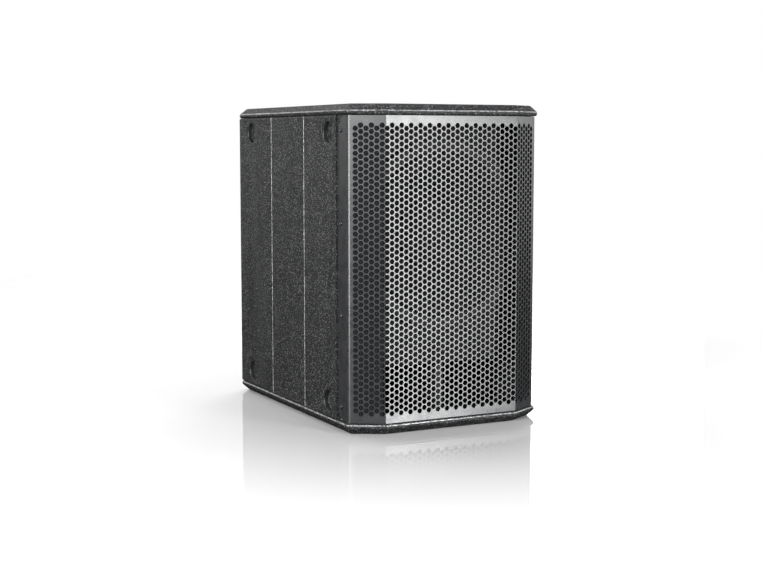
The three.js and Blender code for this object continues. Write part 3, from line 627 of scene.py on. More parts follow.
def sheet(line, thickness):
    """A closed outline of one thickness about a (radius, height) centre line."""
    half = thickness / 2
    low = []
    high = []
    for i, (r, h) in enumerate(line):
        before = line[max(i - 1, 0)]
        after = line[min(i + 1, len(line) - 1)]
        along = Vector((after[0] - before[0], after[1] - before[1])).normalized()
        low.append((max(r + along.y * half, 0.0), h - along.x * half))
        high.append((max(r - along.y * half, 0.0), h + along.x * half))
    if line[0][0] == 0:
        low[0] = (0, line[0][1] - half)
        high[0] = (0, line[0][1] + half)
    return low + high[::-1]


# --- the perforated grille


COS_30 = math.cos(math.pi / 6)
PITCH = 10 * MM
COLUMN_PITCH = PITCH * COS_30
COLUMNS = 41
ROWS_ODD = 47
FIELD_SHIFT = -1.2 * MM
HOLE_FLAT = 8 * MM
HOLE_CORNER_CUT = 0.75 * MM
HOLE_EASE = 0.2 * MM
HOLE_SLACK = 0.001 * MM
RIM_STEP_IN = 0.2
HOLE_REACH = HOLE_FLAT / 2 + HOLE_EASE
HOLE_CORNER_REACH = HOLE_REACH / COS_30 - HOLE_CORNER_CUT / 2
SHEET = 1.5 * MM
SIDE_BEND_R = 8 * MM
FRONT_BEND_R = 2 * MM
BEND_STEPS = 8
FACET_ACROSS = 53.8 * MM
FACET_BACK = 30.7 * MM
CLIP = 20 * MM


def fold_path():
    """The grille's outer face in plan as runs and arcs, from one flange's rear edge to the other's."""
    low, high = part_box("grille")
    side = high.x
    corners = [
        Vector((-side, high.y)),
        Vector((-side, low.y + FACET_BACK)),
        Vector((-side + FACET_ACROSS, low.y)),
        Vector((side - FACET_ACROSS, low.y)),
        Vector((side, low.y + FACET_BACK)),
        Vector((side, high.y)),
    ]
    pieces = []
    start = corners[0]
    radii = (SIDE_BEND_R, FRONT_BEND_R, FRONT_BEND_R, SIDE_BEND_R)
    for before, corner, after, bend in zip(corners, corners[1:], corners[2:], radii):
        into = (corner - before).normalized()
        out = (after - corner).normalized()
        turn = into.angle_signed(out)
        setback = bend * math.tan(abs(turn) / 2)
        end = corner - into * setback
        pieces.append(("run", start, into, (end - start).length, 0.0))
        pieces.append(("arc", end, into, bend * abs(turn), abs(turn)))
        start = corner + out * setback
    last = corners[-1] - start
    pieces.append(("run", start, last.normalized(), last.length, 0.0))
    return pieces


def outward(direction):
    """The outer face's normal for a path that goes round the front from left to right."""
    return Vector((direction.y, -direction.x))


def turned_by(direction, angle):
    c, s = math.cos(angle), math.sin(angle)
    return Vector((direction.x * c - direction.y * s, direction.x * s + direction.y * c))


def place_on(path, distance, depth):
    """The point at a distance along the path and a depth under the outer face."""
    left = distance
    for index, (kind, start, direction, length, turn) in enumerate(path):
        if left <= length + 1e-9 or index == len(path) - 1:
            break
        left -= length
    if kind == "run":
        point = start + direction * left
        normal = outward(direction)
    else:
        bend = length / turn
        normal = turned_by(outward(direction), turn * left / length)
        point = start - outward(direction) * bend + normal * bend
    return point - normal * depth


def hole_outline(centre):
    """A hexagon with flats above and below and its corners cut, round the outer side of the eased edge."""
    points = []
    for i in range(6):
        angle = math.pi / 3 * i
        tip = Vector((math.cos(angle), math.sin(angle))) * (HOLE_REACH / COS_30)
        for step in (-1, 1):
            side = Vector((-math.sin(angle + step * math.pi / 6), math.cos(angle + step * math.pi / 6)))
            points.append(centre + tip + side * step * HOLE_CORNER_CUT)
    return points


def rows_in(column):
    return ROWS_ODD if column % 2 == 0 else ROWS_ODD + 1


class FlatSheet:
    """The grille's sheet laid flat, x along the path and y up, with its holes in staggered columns."""

    def __init__(self, path):
        low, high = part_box("grille")
        self.low = low.z
        self.high = high.z
        self.path = path
        self.length = sum(piece[3] for piece in path)

    def hole(self, column, row):
        u = self.length / 2 + FIELD_SHIFT + (column - (COLUMNS - 1) / 2) * COLUMN_PITCH
        return Vector((u, (self.low + self.high) / 2 + (row - (rows_in(column) - 1) / 2) * PITCH))

    def nearest_hole(self, point):
        nearest = round((point.x - self.hole(0, 0).x) / COLUMN_PITCH)
        nearest = min(max(nearest, 0), COLUMNS - 1)
        near = []
        for column in range(max(nearest - 1, 0), min(nearest + 2, COLUMNS)):
            row = round((point.y - self.hole(column, 0).y) / PITCH)
            near.append(self.hole(column, min(max(row, 0), rows_in(column) - 1)))
        return min(near, key=lambda centre: (centre - point).length)

    def in_hole(self, point):
        centre = self.nearest_hole(point)
        x, y = abs(point.x - centre.x), abs(point.y - centre.y)
        to_flat = max(y, y / 2 + x * COS_30)
        to_corner = max(x, x / 2 + y * COS_30)
        return to_flat < HOLE_REACH - HOLE_SLACK and to_corner < HOLE_CORNER_REACH - HOLE_SLACK

    def in_outline(self, point):
        """Whether a point is clear of the sheet's clipped corners."""
        reach = min(point.x, self.length - point.x)
        rise = min(point.y - self.low, self.high - point.y)
        return reach + rise > CLIP - WELD and reach > -WELD and rise > -WELD

    def bends(self):
        """The upright lines at which the sheet turns a little."""
        lines = []
        reached = 0.0
        for kind, _, _, run, _ in self.path:
            if kind == "arc":
                lines += [reached + run * i / BEND_STEPS for i in range(BEND_STEPS + 1)]
            reached += run
        return lines

    def net(self):
        """The points and faces of a triangulation that keeps the outline, the holes and the bend lines."""
        low, high, end = self.low, self.high, self.length
        loops = [
            [(0, low + CLIP), (CLIP, low), (end - CLIP, low), (end, low + CLIP)]
            + [(end, high - CLIP), (end - CLIP, high), (CLIP, high), (0, high - CLIP)]
        ]
        for column in range(COLUMNS):
            loops += [hole_outline(self.hole(column, row)) for row in range(rows_in(column))]
        points = []
        edges = []
        for loop in loops:
            numbers = list(range(len(points), len(points) + len(loop)))
            points += [Vector(point) for point in loop]
            edges += list(zip(numbers, numbers[1:] + numbers[:1]))
        for u in self.bends():
            edges.append((len(points), len(points) + 1))
            points += [Vector((u, low)), Vector((u, high))]
        points, _, faces, _, _, _ = delaunay_2d_cdt(points, edges, [], 0, 1e-7)
        return points, faces

    def folded(self, work, point, depth):
        """A vertex of the folded sheet for a point of the flat one."""
        place = place_on(self.path, point.x, depth)
        return work.verts.new((place.x, place.y, point.y))


def build_grille():
    flat = FlatSheet(fold_path())
    points, faces = flat.net()
    work = bmesh.new()
    front = []
    back = []
    for point in points:
        front.append(flat.folded(work, point, 0))
        back.append(flat.folded(work, point, SHEET))
    kept_edges = {}
    for face in faces:
        corners = [points[i] for i in face]
        middle = sum(corners, Vector((0, 0))) / len(corners)
        if flat.in_hole(middle) or not flat.in_outline(middle):
            continue
        work.faces.new([front[i] for i in face])
        work.faces.new([back[i] for i in reversed(face)])
        for edge in zip(face, face[1:] + face[:1]):
            kept_edges[edge] = True
    rims = [(a, b) for a, b in kept_edges if (b, a) not in kept_edges]
    add_rims(work, flat, points, front, back, rims)
    bmesh.ops.delete(work, geom=[v for v in work.verts if not v.link_faces], context="VERTS")
    finish_piece(closed_mesh(work, "grille_sheet"), "grille_paint", replaced="grille", sharp=20)


def add_rims(work, flat, points, front, back, rims):
    """Walls between the two faces: eased at the front of the holes, and straight at the sheet's own edge."""
    made = {}

    def eased_vertex(index):
        if index not in made:
            point = points[index]
            centre = flat.nearest_hole(point)
            inward = point.lerp(centre, HOLE_EASE / (point - centre).length)
            made[index] = flat.folded(work, inward, HOLE_EASE)
        return made[index]

    for a, b in rims:
        middle = (points[a] + points[b]) / 2
        if flat.in_hole(middle.lerp(flat.nearest_hole(middle), RIM_STEP_IN)):
            step_a, step_b = eased_vertex(a), eased_vertex(b)
            work.faces.new([front[b], front[a], step_a, step_b])
            work.faces.new([step_b, step_a, back[a], back[b]])
        else:
            work.faces.new([front[b], front[a], back[a], back[b]])


FACET_RUNS = {"left": 2, "right": 6}
FACET_FOAM_DEPTHS = (2.0 * MM, 6.0 * MM)
FACET_FOAM_END = 3.5 * MM


def add_facet_foam():
    """A thin strip of foam close behind each angled facet of the grille."""
    path = fold_path()
    low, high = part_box("grille")
    for label, run in FACET_RUNS.items():
        _, start, along, length, _ = path[run]
        outline = []
        for at, depth in rectangle(FACET_FOAM_END, length - FACET_FOAM_END, *FACET_FOAM_DEPTHS):
            corner = start + along * at - outward(along) * depth
            outline.append((corner.x, corner.y))
        mesh = upright_bar(f"facet_foam_{label}", outline, low.z + MM, high.z - MM)
        strip = finish_piece(mesh, "damping_foam", look="facet_foam")


# --- cabinet boards


PANEL_EDGES = {
    "bottom_panel": 1.1,
    "top_panel": 1.1,
    "left_side_panel": 0.6,
    "right_side_panel": 0.6,
    "back_panel": 0.8,
}
CRATE_PITCH = 26 * MM
CRATE_DIP = 9 * MM
CRATE_STEP = 3.2 * MM
CRATE_SINK = 0.5 * MM


def add_boards():
    for node, width in PANEL_EDGES.items():
        # Upward-tilted rounded edges of the boards carry a painted highlight.
        softened(f"{node}_skin", node, "texture_paint", width, painted_highlight_look="painted_highlight_bead")
    softened("front_baffle_skin", "front_baffle", "baffle_paint", 0.8)
    # The port's shelf and divider take the lighter copy of the baffle paint: painted light in the port.
    for node in ("port_shelf", "port_divider"):
        softened(f"{node}_skin", node, "baffle_paint", 0.8, look="port_painted_light")
    softened("window_brace_skin", "window_brace", "birch_ply", 0.6)
    add_damping_pad("damping_pad_left", 1)
    add_damping_pad("damping_pad_right", -1)
    add_groove_beads()


def add_damping_pad(node, inwards):
    """Egg-crate acoustic foam: flat against the panel, with rows of bumps towards the cabinet's inside."""
    low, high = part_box(node)
    face, back = (high.x, low.x) if inwards > 0 else (low.x, high.x)
    across = round((high.y - low.y) / CRATE_STEP)
    up = round((high.z - low.z) / CRATE_STEP)
    work = bmesh.new()
    bumps = []
    flat = []
    for i in range(across + 1):
        for j in range(up + 1):
            y = low.y + (high.y - low.y) * i / across
            z = low.z + (high.z - low.z) * j / up
            wave = math.cos(2 * math.pi * y / CRATE_PITCH) * math.cos(2 * math.pi * z / CRATE_PITCH)
            x = face - inwards * (CRATE_SINK + CRATE_DIP * (0.5 - 0.5 * wave))
            bumps.append(work.verts.new((x, y, z)))
            flat.append(work.verts.new((back, y, z)))
    row = up + 1
    for i in range(across):
        for j in range(up):
            quad = [i * row + j, (i + 1) * row + j, (i + 1) * row + j + 1, i * row + j + 1]
            work.faces.new([bumps[k] for k in quad])
            work.faces.new([flat[k] for k in reversed(quad)])
    rim = [(i * row, (i + 1) * row) for i in range(across)]
    rim += [(across * row + j, across * row + j + 1) for j in range(up)]
    rim += [((i + 1) * row + up, i * row + up) for i in range(across)]
    rim += [(j + 1, j) for j in range(up)]
    for a, b in rim:
        work.faces.new([bumps[b], bumps[a], flat[a], flat[b]])
    pad = finish_piece(closed_mesh(work, f"{node}_foam"), "damping_foam", replaced=node, sharp=60)


GROOVES_FROM_FRONT = (201.7 * MM, 347 * MM)
GROOVE_WIDTH = 2.6 * MM
BEAD_R = 1.15 * MM
BEAD_SIDES = 13
BEAD_INTO_GROOVE = 0.9 * MM
BEAD_END = 0.5 * MM


def add_groove_beads():
    """Paint pooled along the rear edge of each routed groove in the side panels, coloured with the painted
    highlight look to show a bright line.
    """
    for side, label in ((-1, "left"), (1, "right")):
        low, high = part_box(f"{label}_side_panel")
        face = low.x if side < 0 else high.x
        for index, back in enumerate(GROOVES_FROM_FRONT, 1):
            y = cad_low.y + back + GROOVE_WIDTH / 2 - BEAD_INTO_GROOVE + BEAD_R
            outline = oval(face - side * BEAD_R, y, BEAD_R, BEAD_R, BEAD_SIDES)
            name = f"{label}_groove_bead_{index}"
            mesh = upright_bar(name, outline, low.z + BEAD_END, high.z - BEAD_END)
            finish_piece(mesh, "texture_paint", look="painted_highlight_bead", sharp=60)


def dress_rest():
    """Every CAD node that still shows gets its slot's material."""
    for part in frame["record"]["subparts"]:
        dress(NODES[part["node"]], part["material_slot"])


# --- cups, feet, grille screws


CUP_DEPTH = 7.0
CUP_WALL = 2.4
FOOT_GROOVES = (13.5, 10.5, 7.5)


def add_cups_and_feet():
    makers = {"stacking_cup": add_cup, "stacking_foot": add_foot, "grille_screw": add_grille_screw}
    for node in NODES:
        for start, make in makers.items():
            if node.startswith(start):
                make(node)


def add_cup(node):
    seat = seat_on(node, X, LOW)
    outer = size_mm(node)[Z] / 2
    wall = [(outer, 0), (outer - 1.2, 0), (outer - 1.9, 1.0), (outer - CUP_WALL, CUP_DEPTH)]
    wall += [(outer - CUP_WALL, CUP_DEPTH + CUP_WALL), (outer, CUP_DEPTH + CUP_WALL)]
    turned(f"{node}_wall", wall, seat, "cup_plastic", "X", 0.35, replaced=node)
    floor = rectangle(0, outer - CUP_WALL - 0.1, CUP_DEPTH, CUP_DEPTH + CUP_WALL - 0.2)
    turned(f"{node}_floor", floor, seat, "cup_plastic", "X", steps=64, look="texture_paint")


def add_foot(node):
    seat = seat_on(node, X, LOW)
    height, _, width = size_mm(node)
    radius = width / 2
    profile = [(radius, 0), (radius, 1.2), (radius - 1.4, height - 0.6), (radius - 2.4, height)]
    for groove in FOOT_GROOVES:
        profile += [(groove + 0.6, height), (groove, height - 0.7), (groove - 0.6, height)]
    profile += [(5.2, height), (4.8, height - 3.2), (2.4, height - 3.2), (2.4, 0)]
    turned(f"{node}_rubber", profile, seat, "foot_rubber", "X", 0.25, replaced=node)
    head = [(0, 1.0), (4.4, 1.0), (4.4, height - 2.6), (3.2, height - 1.7), (1.6, height - 1.6)]
    head += [(1.2, height - 2.8), (0, height - 2.9)]
    turned(f"{node}_screw", head, seat, "screw_steel", "X", 0.2, 32)


def add_grille_screw(node):
    right = centre_of(node).x > 0
    length, _, width = size_mm(node)
    radius = width / 2
    profile = [(0, -length), (1.3, -length), (1.8, -length + 1), (1.8, -2.0), (radius, -2.0), (radius, -1.2)]
    profile += [(radius - 0.5, -0.5), (radius - 1.5, 0), (1.6, 0), (1.1, -0.5), (0.8, -1.2), (0, -1.3)]
    seat = seat_on(node, X, HIGH if right else LOW)
    turned(f"{node}_turned", profile, seat, "screw_steel", "X" if right else "-X", 0.15, 48, replaced=node)


# --- driver


# Radii and heights are in millimetres, and heights run along Y, towards the back. DRIVER_AT and the
# basket's windows are in metres.
DRIVER_AT = Vector((0, 0, centre_of("driver_gasket").z))
DRIVER_BOLTS = 8
BOLT_RING_R = 154.0
BOLT_STANDS_IN = 0.2
FRAME_R = 160.0
SURROUND_R = 137.0
SURROUND_RISE = 0.8
RIPPLES = 8
RIPPLE = 0.35
CONE_R = 119.0
CONE_NECK = -148.0
CONE_BULGE = 3 * 0.97
CONE_RIBS = (70.0, 86.0, 102.0)
CONE_RIB_HEIGHT = 0.9
CONE_RIB_SPREAD = 1.6
PAPER = 0.9
CAP_R = 55.0
CAP_RISE = 16.6
COIL_R = 39.0
SPIDER_AT = -137.5
SPIDER_R = (46, 80)
SPIDER_WAVES = 3
SPIDER_WAVE = 1.7
WINDOW = (0.4, 0.038, 0.092)
WINDOW_Y = -0.163
BASKET_WINDOWS = 3
PLATE_R = 75
VENT_R = 12
POLE_R = COIL_R - 1.8
GAP_R = COIL_R + 1.7
MAGNET_R = (47, 84)
FRONT_PLATE = (-112, -104)
MAGNET = (-103.7, -81.7)
BACK_PLATE = (-81.4, -73)


def add_basket():
    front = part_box("driver_basket")[LOW].y / MM
    profile = [(FRAME_R, front), (FRAME_R, front + 5), (140.5, front + 5), (140, -188), (114, -144)]
    profile += [(96, -129), (84, -126), (84, -112.3), (45, -112.3), (45, -116.3), (78, -116.3), (78, -134)]
    profile += [(92, -134), (110, -149), (135, -189), (136, front)]
    name = "driver_basket_cast"
    basket = turned(name, profile, DRIVER_AT, "basket_paint", ease=1.0, replaced="driver_basket")
    for index in range(BASKET_WINDOWS):
        cut_window(basket, math.pi * index / BASKET_WINDOWS)
    basket.data.set_sharp_from_angle(angle=math.radians(SMOOTH_ANGLE))


def cut_window(basket, angle):
    """Takes a bar-shaped opening across the basket, between its arms."""
    work = bmesh.new()
    bmesh.ops.create_cube(work, size=1)
    bmesh.ops.scale(work, vec=WINDOW, verts=work.verts)
    turn = Matrix.Translation((0, WINDOW_Y, DRIVER_AT.z)) @ Matrix.Rotation(angle, 4, "Y")
    bmesh.ops.transform(work, matrix=turn, verts=work.verts)
    cut_out(basket, mesh_from(work, "window_cutter"))


def add_driver_bolts():
    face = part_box("driver_gasket")[LOW].y / MM + BOLT_STANDS_IN
    profile = [(0, 4.0), (2.2, 4.0), (2.2, 0.0), (4.6, 0.0), (4.6, -3.0), (4.0, -3.6), (2.3, -3.6)]
    profile += [(2.1, -1.2), (0, -1.2)]
    for index in range(DRIVER_BOLTS):
        angle = 2 * math.pi * (index + 0.5) / DRIVER_BOLTS
        x = BOLT_RING_R * MM * math.cos(angle)
        z = DRIVER_AT.z + BOLT_RING_R * MM * math.sin(angle)
        seat = Vector((x, face * MM, z))
        name = f"driver_bolt_{index + 1}"
        turned(name, profile, seat, "screw_steel", ease=0.25, steps=36, look="black_oxide")


def add_gasket():
    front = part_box("driver_gasket")[LOW].y / MM
    lip = front + 4.4
    inner = SURROUND_R + 1.5
    step = inner + 11
    outer = FRAME_R - 1
    profile = [(inner, front + 3), (step, front + 3), (step, lip), (outer, lip), (outer, front + 0.8)]
    profile += [(FRAME_R - 6, front), (SURROUND_R + 5, front), (inner, front + 1.2)]
    turned("driver_gasket_ring", profile, DRIVER_AT, "gasket_rubber", ease=0.5, replaced="driver_gasket")


def radial_blend(obj, inner, outer):
    """Lets a ring's outer edge stay with the cabinet while its inner edge rides with the cone."""
    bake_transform(obj, CABINET, CONE_BODY, (0, 0, 0), (1, 0, 0))
    attribute = obj.data.attributes["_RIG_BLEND"]
    for index, vertex in enumerate(obj.data.vertices):
        away = math.hypot(vertex.co.x - DRIVER_AT.x, vertex.co.z - DRIVER_AT.z) / MM
        t = min(max((outer - away) / (outer - inner), 0), 1)
        attribute.data[index].value = t * t * (3 - 2 * t)


def soft_ring(name, node, line, thickness, slot, inner, outer):
    """A flexing ring of one thickness, from its centre line, smooth all over."""
    obj = new_object(name, lathe_mesh(name, in_metres(sheet(line, thickness)), "Y", DRIVER_AT))
    for polygon in obj.data.polygons:
        polygon.use_smooth = True
    dress(obj, slot)
    radial_blend(obj, inner, outer)
    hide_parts(node)


def add_surround():
    """A doped cloth surround: flat lips and one deep roll with fine moulded ribs."""
    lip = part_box("surround")[HIGH].y / MM - 0.6
    middle = (CONE_R + SURROUND_R) / 2
    half = (SURROUND_R - CONE_R) / 2
    line = [(CONE_R - 6.8, lip), (CONE_R - 1.5, lip)]
    steps = 24
    for i in range(steps + 1):
        angle = math.pi * i / steps
        ripple = RIPPLE * math.cos(angle * RIPPLES)
        r = middle - (half + ripple * 0.4) * math.cos(angle)
        line.append((r, lip - (half * SURROUND_RISE + ripple) * math.sin(angle)))
    line += [(SURROUND_R + 1.5, lip), (SURROUND_R + 11.5, lip)]
    soft_ring("surround_roll", "surround", line, 0.9, "surround_cloth", CONE_R, SURROUND_R)


def add_spider():
    """A corrugated cloth disc between the coil and the basket."""
    line = [(COIL_R + 1.6, SPIDER_AT), (SPIDER_R[0] - 1, SPIDER_AT)]
    steps = 60
    for i in range(steps + 1):
        share = i / steps
        wave = math.sin(2 * math.pi * SPIDER_WAVES * share)
        line.append((SPIDER_R[0] + share * (SPIDER_R[1] - SPIDER_R[0]), SPIDER_AT + SPIDER_WAVE * wave))
    line += [(SPIDER_R[1] + 2.5, SPIDER_AT + 2.4), (SPIDER_R[1] + 10.5, SPIDER_AT + 2.6)]
    soft_ring("spider_disc", "spider", line, 0.5, "spider_cloth", COIL_R + 4, SPIDER_R[1])


def add_cone():
    """A nearly straight-sided paper cone with pressed ribs, a domed dust cap and the voice coil."""
    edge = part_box("cone")[LOW].y / MM + 0.7
    line = [(CONE_R - 0.2, edge), (CONE_R - 6.5, edge)]
    steps = 60
    for i in range(1, steps + 1):
        share = i / steps
        r = CONE_R - 7 + (COIL_R + 1.2 + 7 - CONE_R) * share
        rib = sum(CONE_RIB_HEIGHT * math.exp(-(((r - at) / CONE_RIB_SPREAD) ** 2)) for at in CONE_RIBS)
        line.append((r, edge + (CONE_NECK - edge) * share + CONE_BULGE * math.sin(math.pi * share) - rib))
    rides = {"body": CONE_BODY}
    turned("cone_skin", sheet(line, PAPER), DRIVER_AT, "cone_paper", replaced="cone", **rides)
    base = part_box("dust_cap")[HIGH].y / MM
    steps = 24
    shares = [i / steps for i in range(steps + 1)]
    cap = [(CAP_R * 0.995 * share, base - PAPER - CAP_RISE * (1 - share * share)) for share in shares]
    turned("dust_cap_skin", sheet(cap, 0.8), DRIVER_AT, "cone_paper", replaced="dust_cap", **rides)
    glue = oval(CAP_R + 0.6, base - 0.6, 1.3, 0.8, 12)
    turned("dust_cap_glue", glue, DRIVER_AT, "gasket_rubber", **rides)
    coil = [(COIL_R - 1.0, -147), (COIL_R, -147), (COIL_R, -120), (COIL_R + 0.7, -119.6)]
    coil += [(COIL_R + 0.7, -97.2), (COIL_R - 1.0, -97)]
    turned("voice_coil_wound", coil, DRIVER_AT, "coil_copper", replaced="voice_coil", **rides)


def add_motor():
    back = [(VENT_R, FRONT_PLATE[0]), (POLE_R, FRONT_PLATE[0]), (POLE_R, BACK_PLATE[0])]
    back += [(PLATE_R, BACK_PLATE[0]), (PLATE_R, BACK_PLATE[1]), (VENT_R + 6, BACK_PLATE[1])]
    back += [(VENT_R, BACK_PLATE[1] - 6)]
    plates = {
        "motor_front_plate": (rectangle(GAP_R, PLATE_R, *FRONT_PLATE), "motor_steel", 0.8),
        "magnet_ring": (rectangle(*MAGNET_R, *MAGNET), "magnet_ferrite", 1.4),
        "motor_back_plate": (back, "motor_steel", 1.0),
    }
    for node, (profile, slot, ease) in plates.items():
        turned(f"{node}_turned", profile, DRIVER_AT, slot, ease=ease, replaced=node)


def add_driver():
    add_basket()
    add_driver_bolts()
    add_gasket()
    add_surround()
    add_spider()
    add_cone()
    add_motor()


# --- handle


HANDLE_SCREW_INSET = (7.0, 5.0)
GRIP_RIBS = 17
GRIP_PITCH = 6.0
GRIP_R = 11.0
GRIP_SLEEVE = GRIP_R + 0.15
GRIP_CREST = GRIP_R + 0.8
GRIP_BELOW_TOP = 14.0


def add_handle():
    """The moulded tub with countersunk screws in its flange and a ribbed grip on its bar."""
    seat = seat_on("top_handle", Z, HIGH)
    tub = softened("top_handle_tub", "top_handle", "handle_plastic", 1.0)
    half_x, half_y = (size / 2 - inset for size, inset in zip(size_mm("top_handle"), HANDLE_SCREW_INSET))
    places = [(x, y) for x in (-half_x, 0, half_x) for y in (-half_y, half_y)]
    sink = in_metres([(0, -2.0), (2.2, -2.0), (4.2, 0.0), (4.2, 1.0), (0, 1.0)])
    head = [(0, -2.3), (2.0, -2.2), (3.9, -0.4), (3.9, -0.15), (2.1, -0.15), (1.9, -1.4), (0, -1.4)]
    for index, (x, y) in enumerate(places, 1):
        place = Vector((seat.x + x * MM, seat.y + y * MM, seat.z))
        cut_out(tub, lathe_mesh("countersink", sink, "Z", place, 32))
        turned(f"handle_screw_{index}", head, place, "screw_steel", "Z", 0.1, 32)
    tub.data.set_sharp_from_angle(angle=math.radians(SMOOTH_ANGLE))
    end = GRIP_RIBS / 2 * GRIP_PITCH
    profile = [(GRIP_R - 1.5, -end), (GRIP_SLEEVE, -end)]
    for index in range(GRIP_RIBS):
        at = (index - (GRIP_RIBS - 1) / 2) * GRIP_PITCH
        profile += [(GRIP_SLEEVE, at - 2.2), (GRIP_CREST, at - 1.2)]
        profile += [(GRIP_CREST, at + 1.2), (GRIP_SLEEVE, at + 2.2)]
    profile += [(GRIP_SLEEVE, end), (GRIP_R - 1.5, end)]
    bar = Vector((seat.x, seat.y, seat.z - GRIP_BELOW_TOP * MM))
    turned("top_handle_grip", profile, bar, "foot_rubber", "X", 0.3)


# --- amplifier panel


PANEL_SCREW_INSET = 7.5 * MM
SINK_SCREW_INSET = (7.5 * MM, 8 * MM)
SINK_SCREW_DEPTH = 4 * MM
PAN_HEAD = [(0, -3), (1.6, -3), (1.6, 0), (3.4, 0), (3.3, 0.9), (2.6, 1.7), (1.5, 2), (1.2, 0.9), (0, 0.8)]
SMALL_HEAD_SHARE = 0.62
SMALL_HEAD = [(r * SMALL_HEAD_SHARE, h * SMALL_HEAD_SHARE) for r, h in PAN_HEAD]


def screw(name, profile, x, face, z):
    turned(name, profile, Vector((x, face, z)), "screw_steel", ease=0.12, steps=36)


def add_amp_panel():
    low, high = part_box("amp_panel")
    softened("amp_panel_plate", "amp_panel", "panel_paint", 0.5)
    softened("heat_sink_fins", "heat_sink", "heat_sink_alloy", 0.35)
    inset = PANEL_SCREW_INSET
    xs = (low.x + inset, (low.x + high.x) / 2, high.x - inset)
    zs = [low.z + inset + (high.z - low.z - 2 * inset) * share for share in (0, 1 / 3, 2 / 3, 1)]
    places = [(x, z) for x in xs for z in zs if x != xs[1] or z not in zs[1:3]]
    for count, (x, z) in enumerate(places, 1):
        screw(f"amp_panel_screw_{count}", PAN_HEAD, x, high.y, z)
    add_panel_print(high.y)
    add_lamps(high.y)
    low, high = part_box("heat_sink")
    in_x, in_z = SINK_SCREW_INSET
    for index, x in enumerate((low.x + in_x, high.x - in_x)):
        for letter, z in (("a", low.z + in_z), ("b", high.z - in_z)):
            screw(f"heat_sink_screw_{index}_{letter}", PAN_HEAD, x, low.y + SINK_SCREW_DEPTH, z)


DIAL_TICKS = 11
DIAL_SPAN = 145.0
TICK_R = (10.4, 12.4)
LONG_TICK = 0.9
INK_FROM = -0.05 * MM
INK_TO = 0.12 * MM
TICK_WIDTH = 0.7 * MM
FRAME_WIDTH = 0.5 * MM
FRAME_MARGIN = 4 * MM
PRINTED_FRAMES = {
    "input_frame": ("input_left", "input_right"),
    "link_frame": ("link_output_left", "link_output_right"),
    "power_frame": ("mains_inlet", "power_switch_frame"),
}


def mark(name, start, end, width, face):
    """A printed line between two (x, z) points, laid on the panel's face."""
    start, end = Vector(start), Vector(end)
    along = (end - start).normalized() * width / 2
    side = Vector((-along.y, along.x))
    outline = [start - side, end - side, end + side, start + side]
    near, far = ([(point.x, face + depth, point.y) for point in outline] for depth in (INK_FROM, INK_TO))
    finish_piece(prism(name, near, far), "panel_paint", look="panel_ink", sharp=30)


def add_panel_print(face):
    """Dial ticks, and frames round the inputs, the links and the power entry. No lettering."""
    for knob in ("level_knob", "delay_knob"):
        middle = centre_of(knob)
        for index in range(DIAL_TICKS):
            angle = math.radians(-DIAL_SPAN + 2 * DIAL_SPAN * index / (DIAL_TICKS - 1))
            x, z = math.sin(angle), math.cos(angle)
            longer = LONG_TICK if index in (0, DIAL_TICKS // 2, DIAL_TICKS - 1) else 0
            ends = [(middle.x + r * MM * x, middle.z + r * MM * z) for r in (TICK_R[0], TICK_R[1] + longer)]
            mark(f"{knob}_tick_{index}", *ends, TICK_WIDTH, face)
    for name, nodes in PRINTED_FRAMES.items():
        lows, highs = zip(*(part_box(node) for node in nodes))
        x0, z0 = (min(low[axis] for low in lows) - FRAME_MARGIN for axis in (X, Z))
        x1, z1 = (max(high[axis] for high in highs) + FRAME_MARGIN for axis in (X, Z))
        corners = rectangle(x0, x1, z0, z1)
        for index, (start, end) in enumerate(zip(corners, corners[1:] + corners[:1])):
            mark(f"{name}_{index}", start, end, FRAME_WIDTH, face)


LAMPS = {
    "signal_lamp": (-78, 268),
    "limit_lamp": (-92, 268),
    "ready_lamp": (-106, 268),
    "power_lamp": (-24, 162),
}
LAMP_COLLAR = [(1.7, 0), (2.8, 0), (2.7, 0.8), (2.2, 1.2), (1.8, 1.0)]
LAMP_LENS = [(0, 0.1), (1.65, 0.1), (1.6, 1.2), (1.2, 1.9), (0.6, 2.25), (0, 2.35)]


def add_lamps(face):
    """Small domed indicator lamps in black collars."""
    for name, (x, z) in LAMPS.items():
        seat = Vector((x * MM, face, z * MM))
        look = "lamp_red" if name == "limit_lamp" else "lamp_green"
        turned(f"{name}_collar", LAMP_COLLAR, seat, "control_plastic", ease=0.1, steps=36)
        turned(f"{name}_lens", LAMP_LENS, seat, "control_plastic", ease=0.1, steps=36, look=look)


KNOB_FLUTES = 18
FLUTE_DEPTH = 0.45 * MM
FLUTED_OUTSIDE = 5.5 * MM
KNOB_CAP = 12
POINTER_HALF = 0.6
POINTER_REACH = (1.5, 6.8)


def add_knobs():
    for node in ("level_knob", "delay_knob"):
        seat = seat_on(node, Y, LOW)
        length = size_mm(node)[Y]
        cap = length - KNOB_CAP
        profile = [(0, 0), (3, 0), (3, cap + 0.8), (7, cap + 0.8), (8, cap), (8, cap + 1.6)]
        profile += [(7.5, cap + 2.2), (7.15, length - 1.2), (6.4, length - 0.25), (5.2, length)]
        profile += [(4.6, length - 0.4), (0, length - 0.4)]
        mesh = lathe_mesh(f"{node}_cap", eased(in_metres(profile), 0.25 * MM, False), "Y", seat, 144)
        flute(mesh, seat, (cap + 2.2) * MM, (length - 1.0) * MM)
        finish_piece(mesh, "control_plastic", node, node, sharp=40)
        top = seat.y + (length - 0.1) * MM
        low_corner = (seat.x - POINTER_HALF * MM, top - 0.5 * MM, seat.z + POINTER_REACH[0] * MM)
        high_corner = (seat.x + POINTER_HALF * MM, top + 0.05 * MM, seat.z + POINTER_REACH[1] * MM)
        block_piece(f"{node}_pointer", low_corner, high_corner, "control_plastic", 0.15, node, "panel_ink")


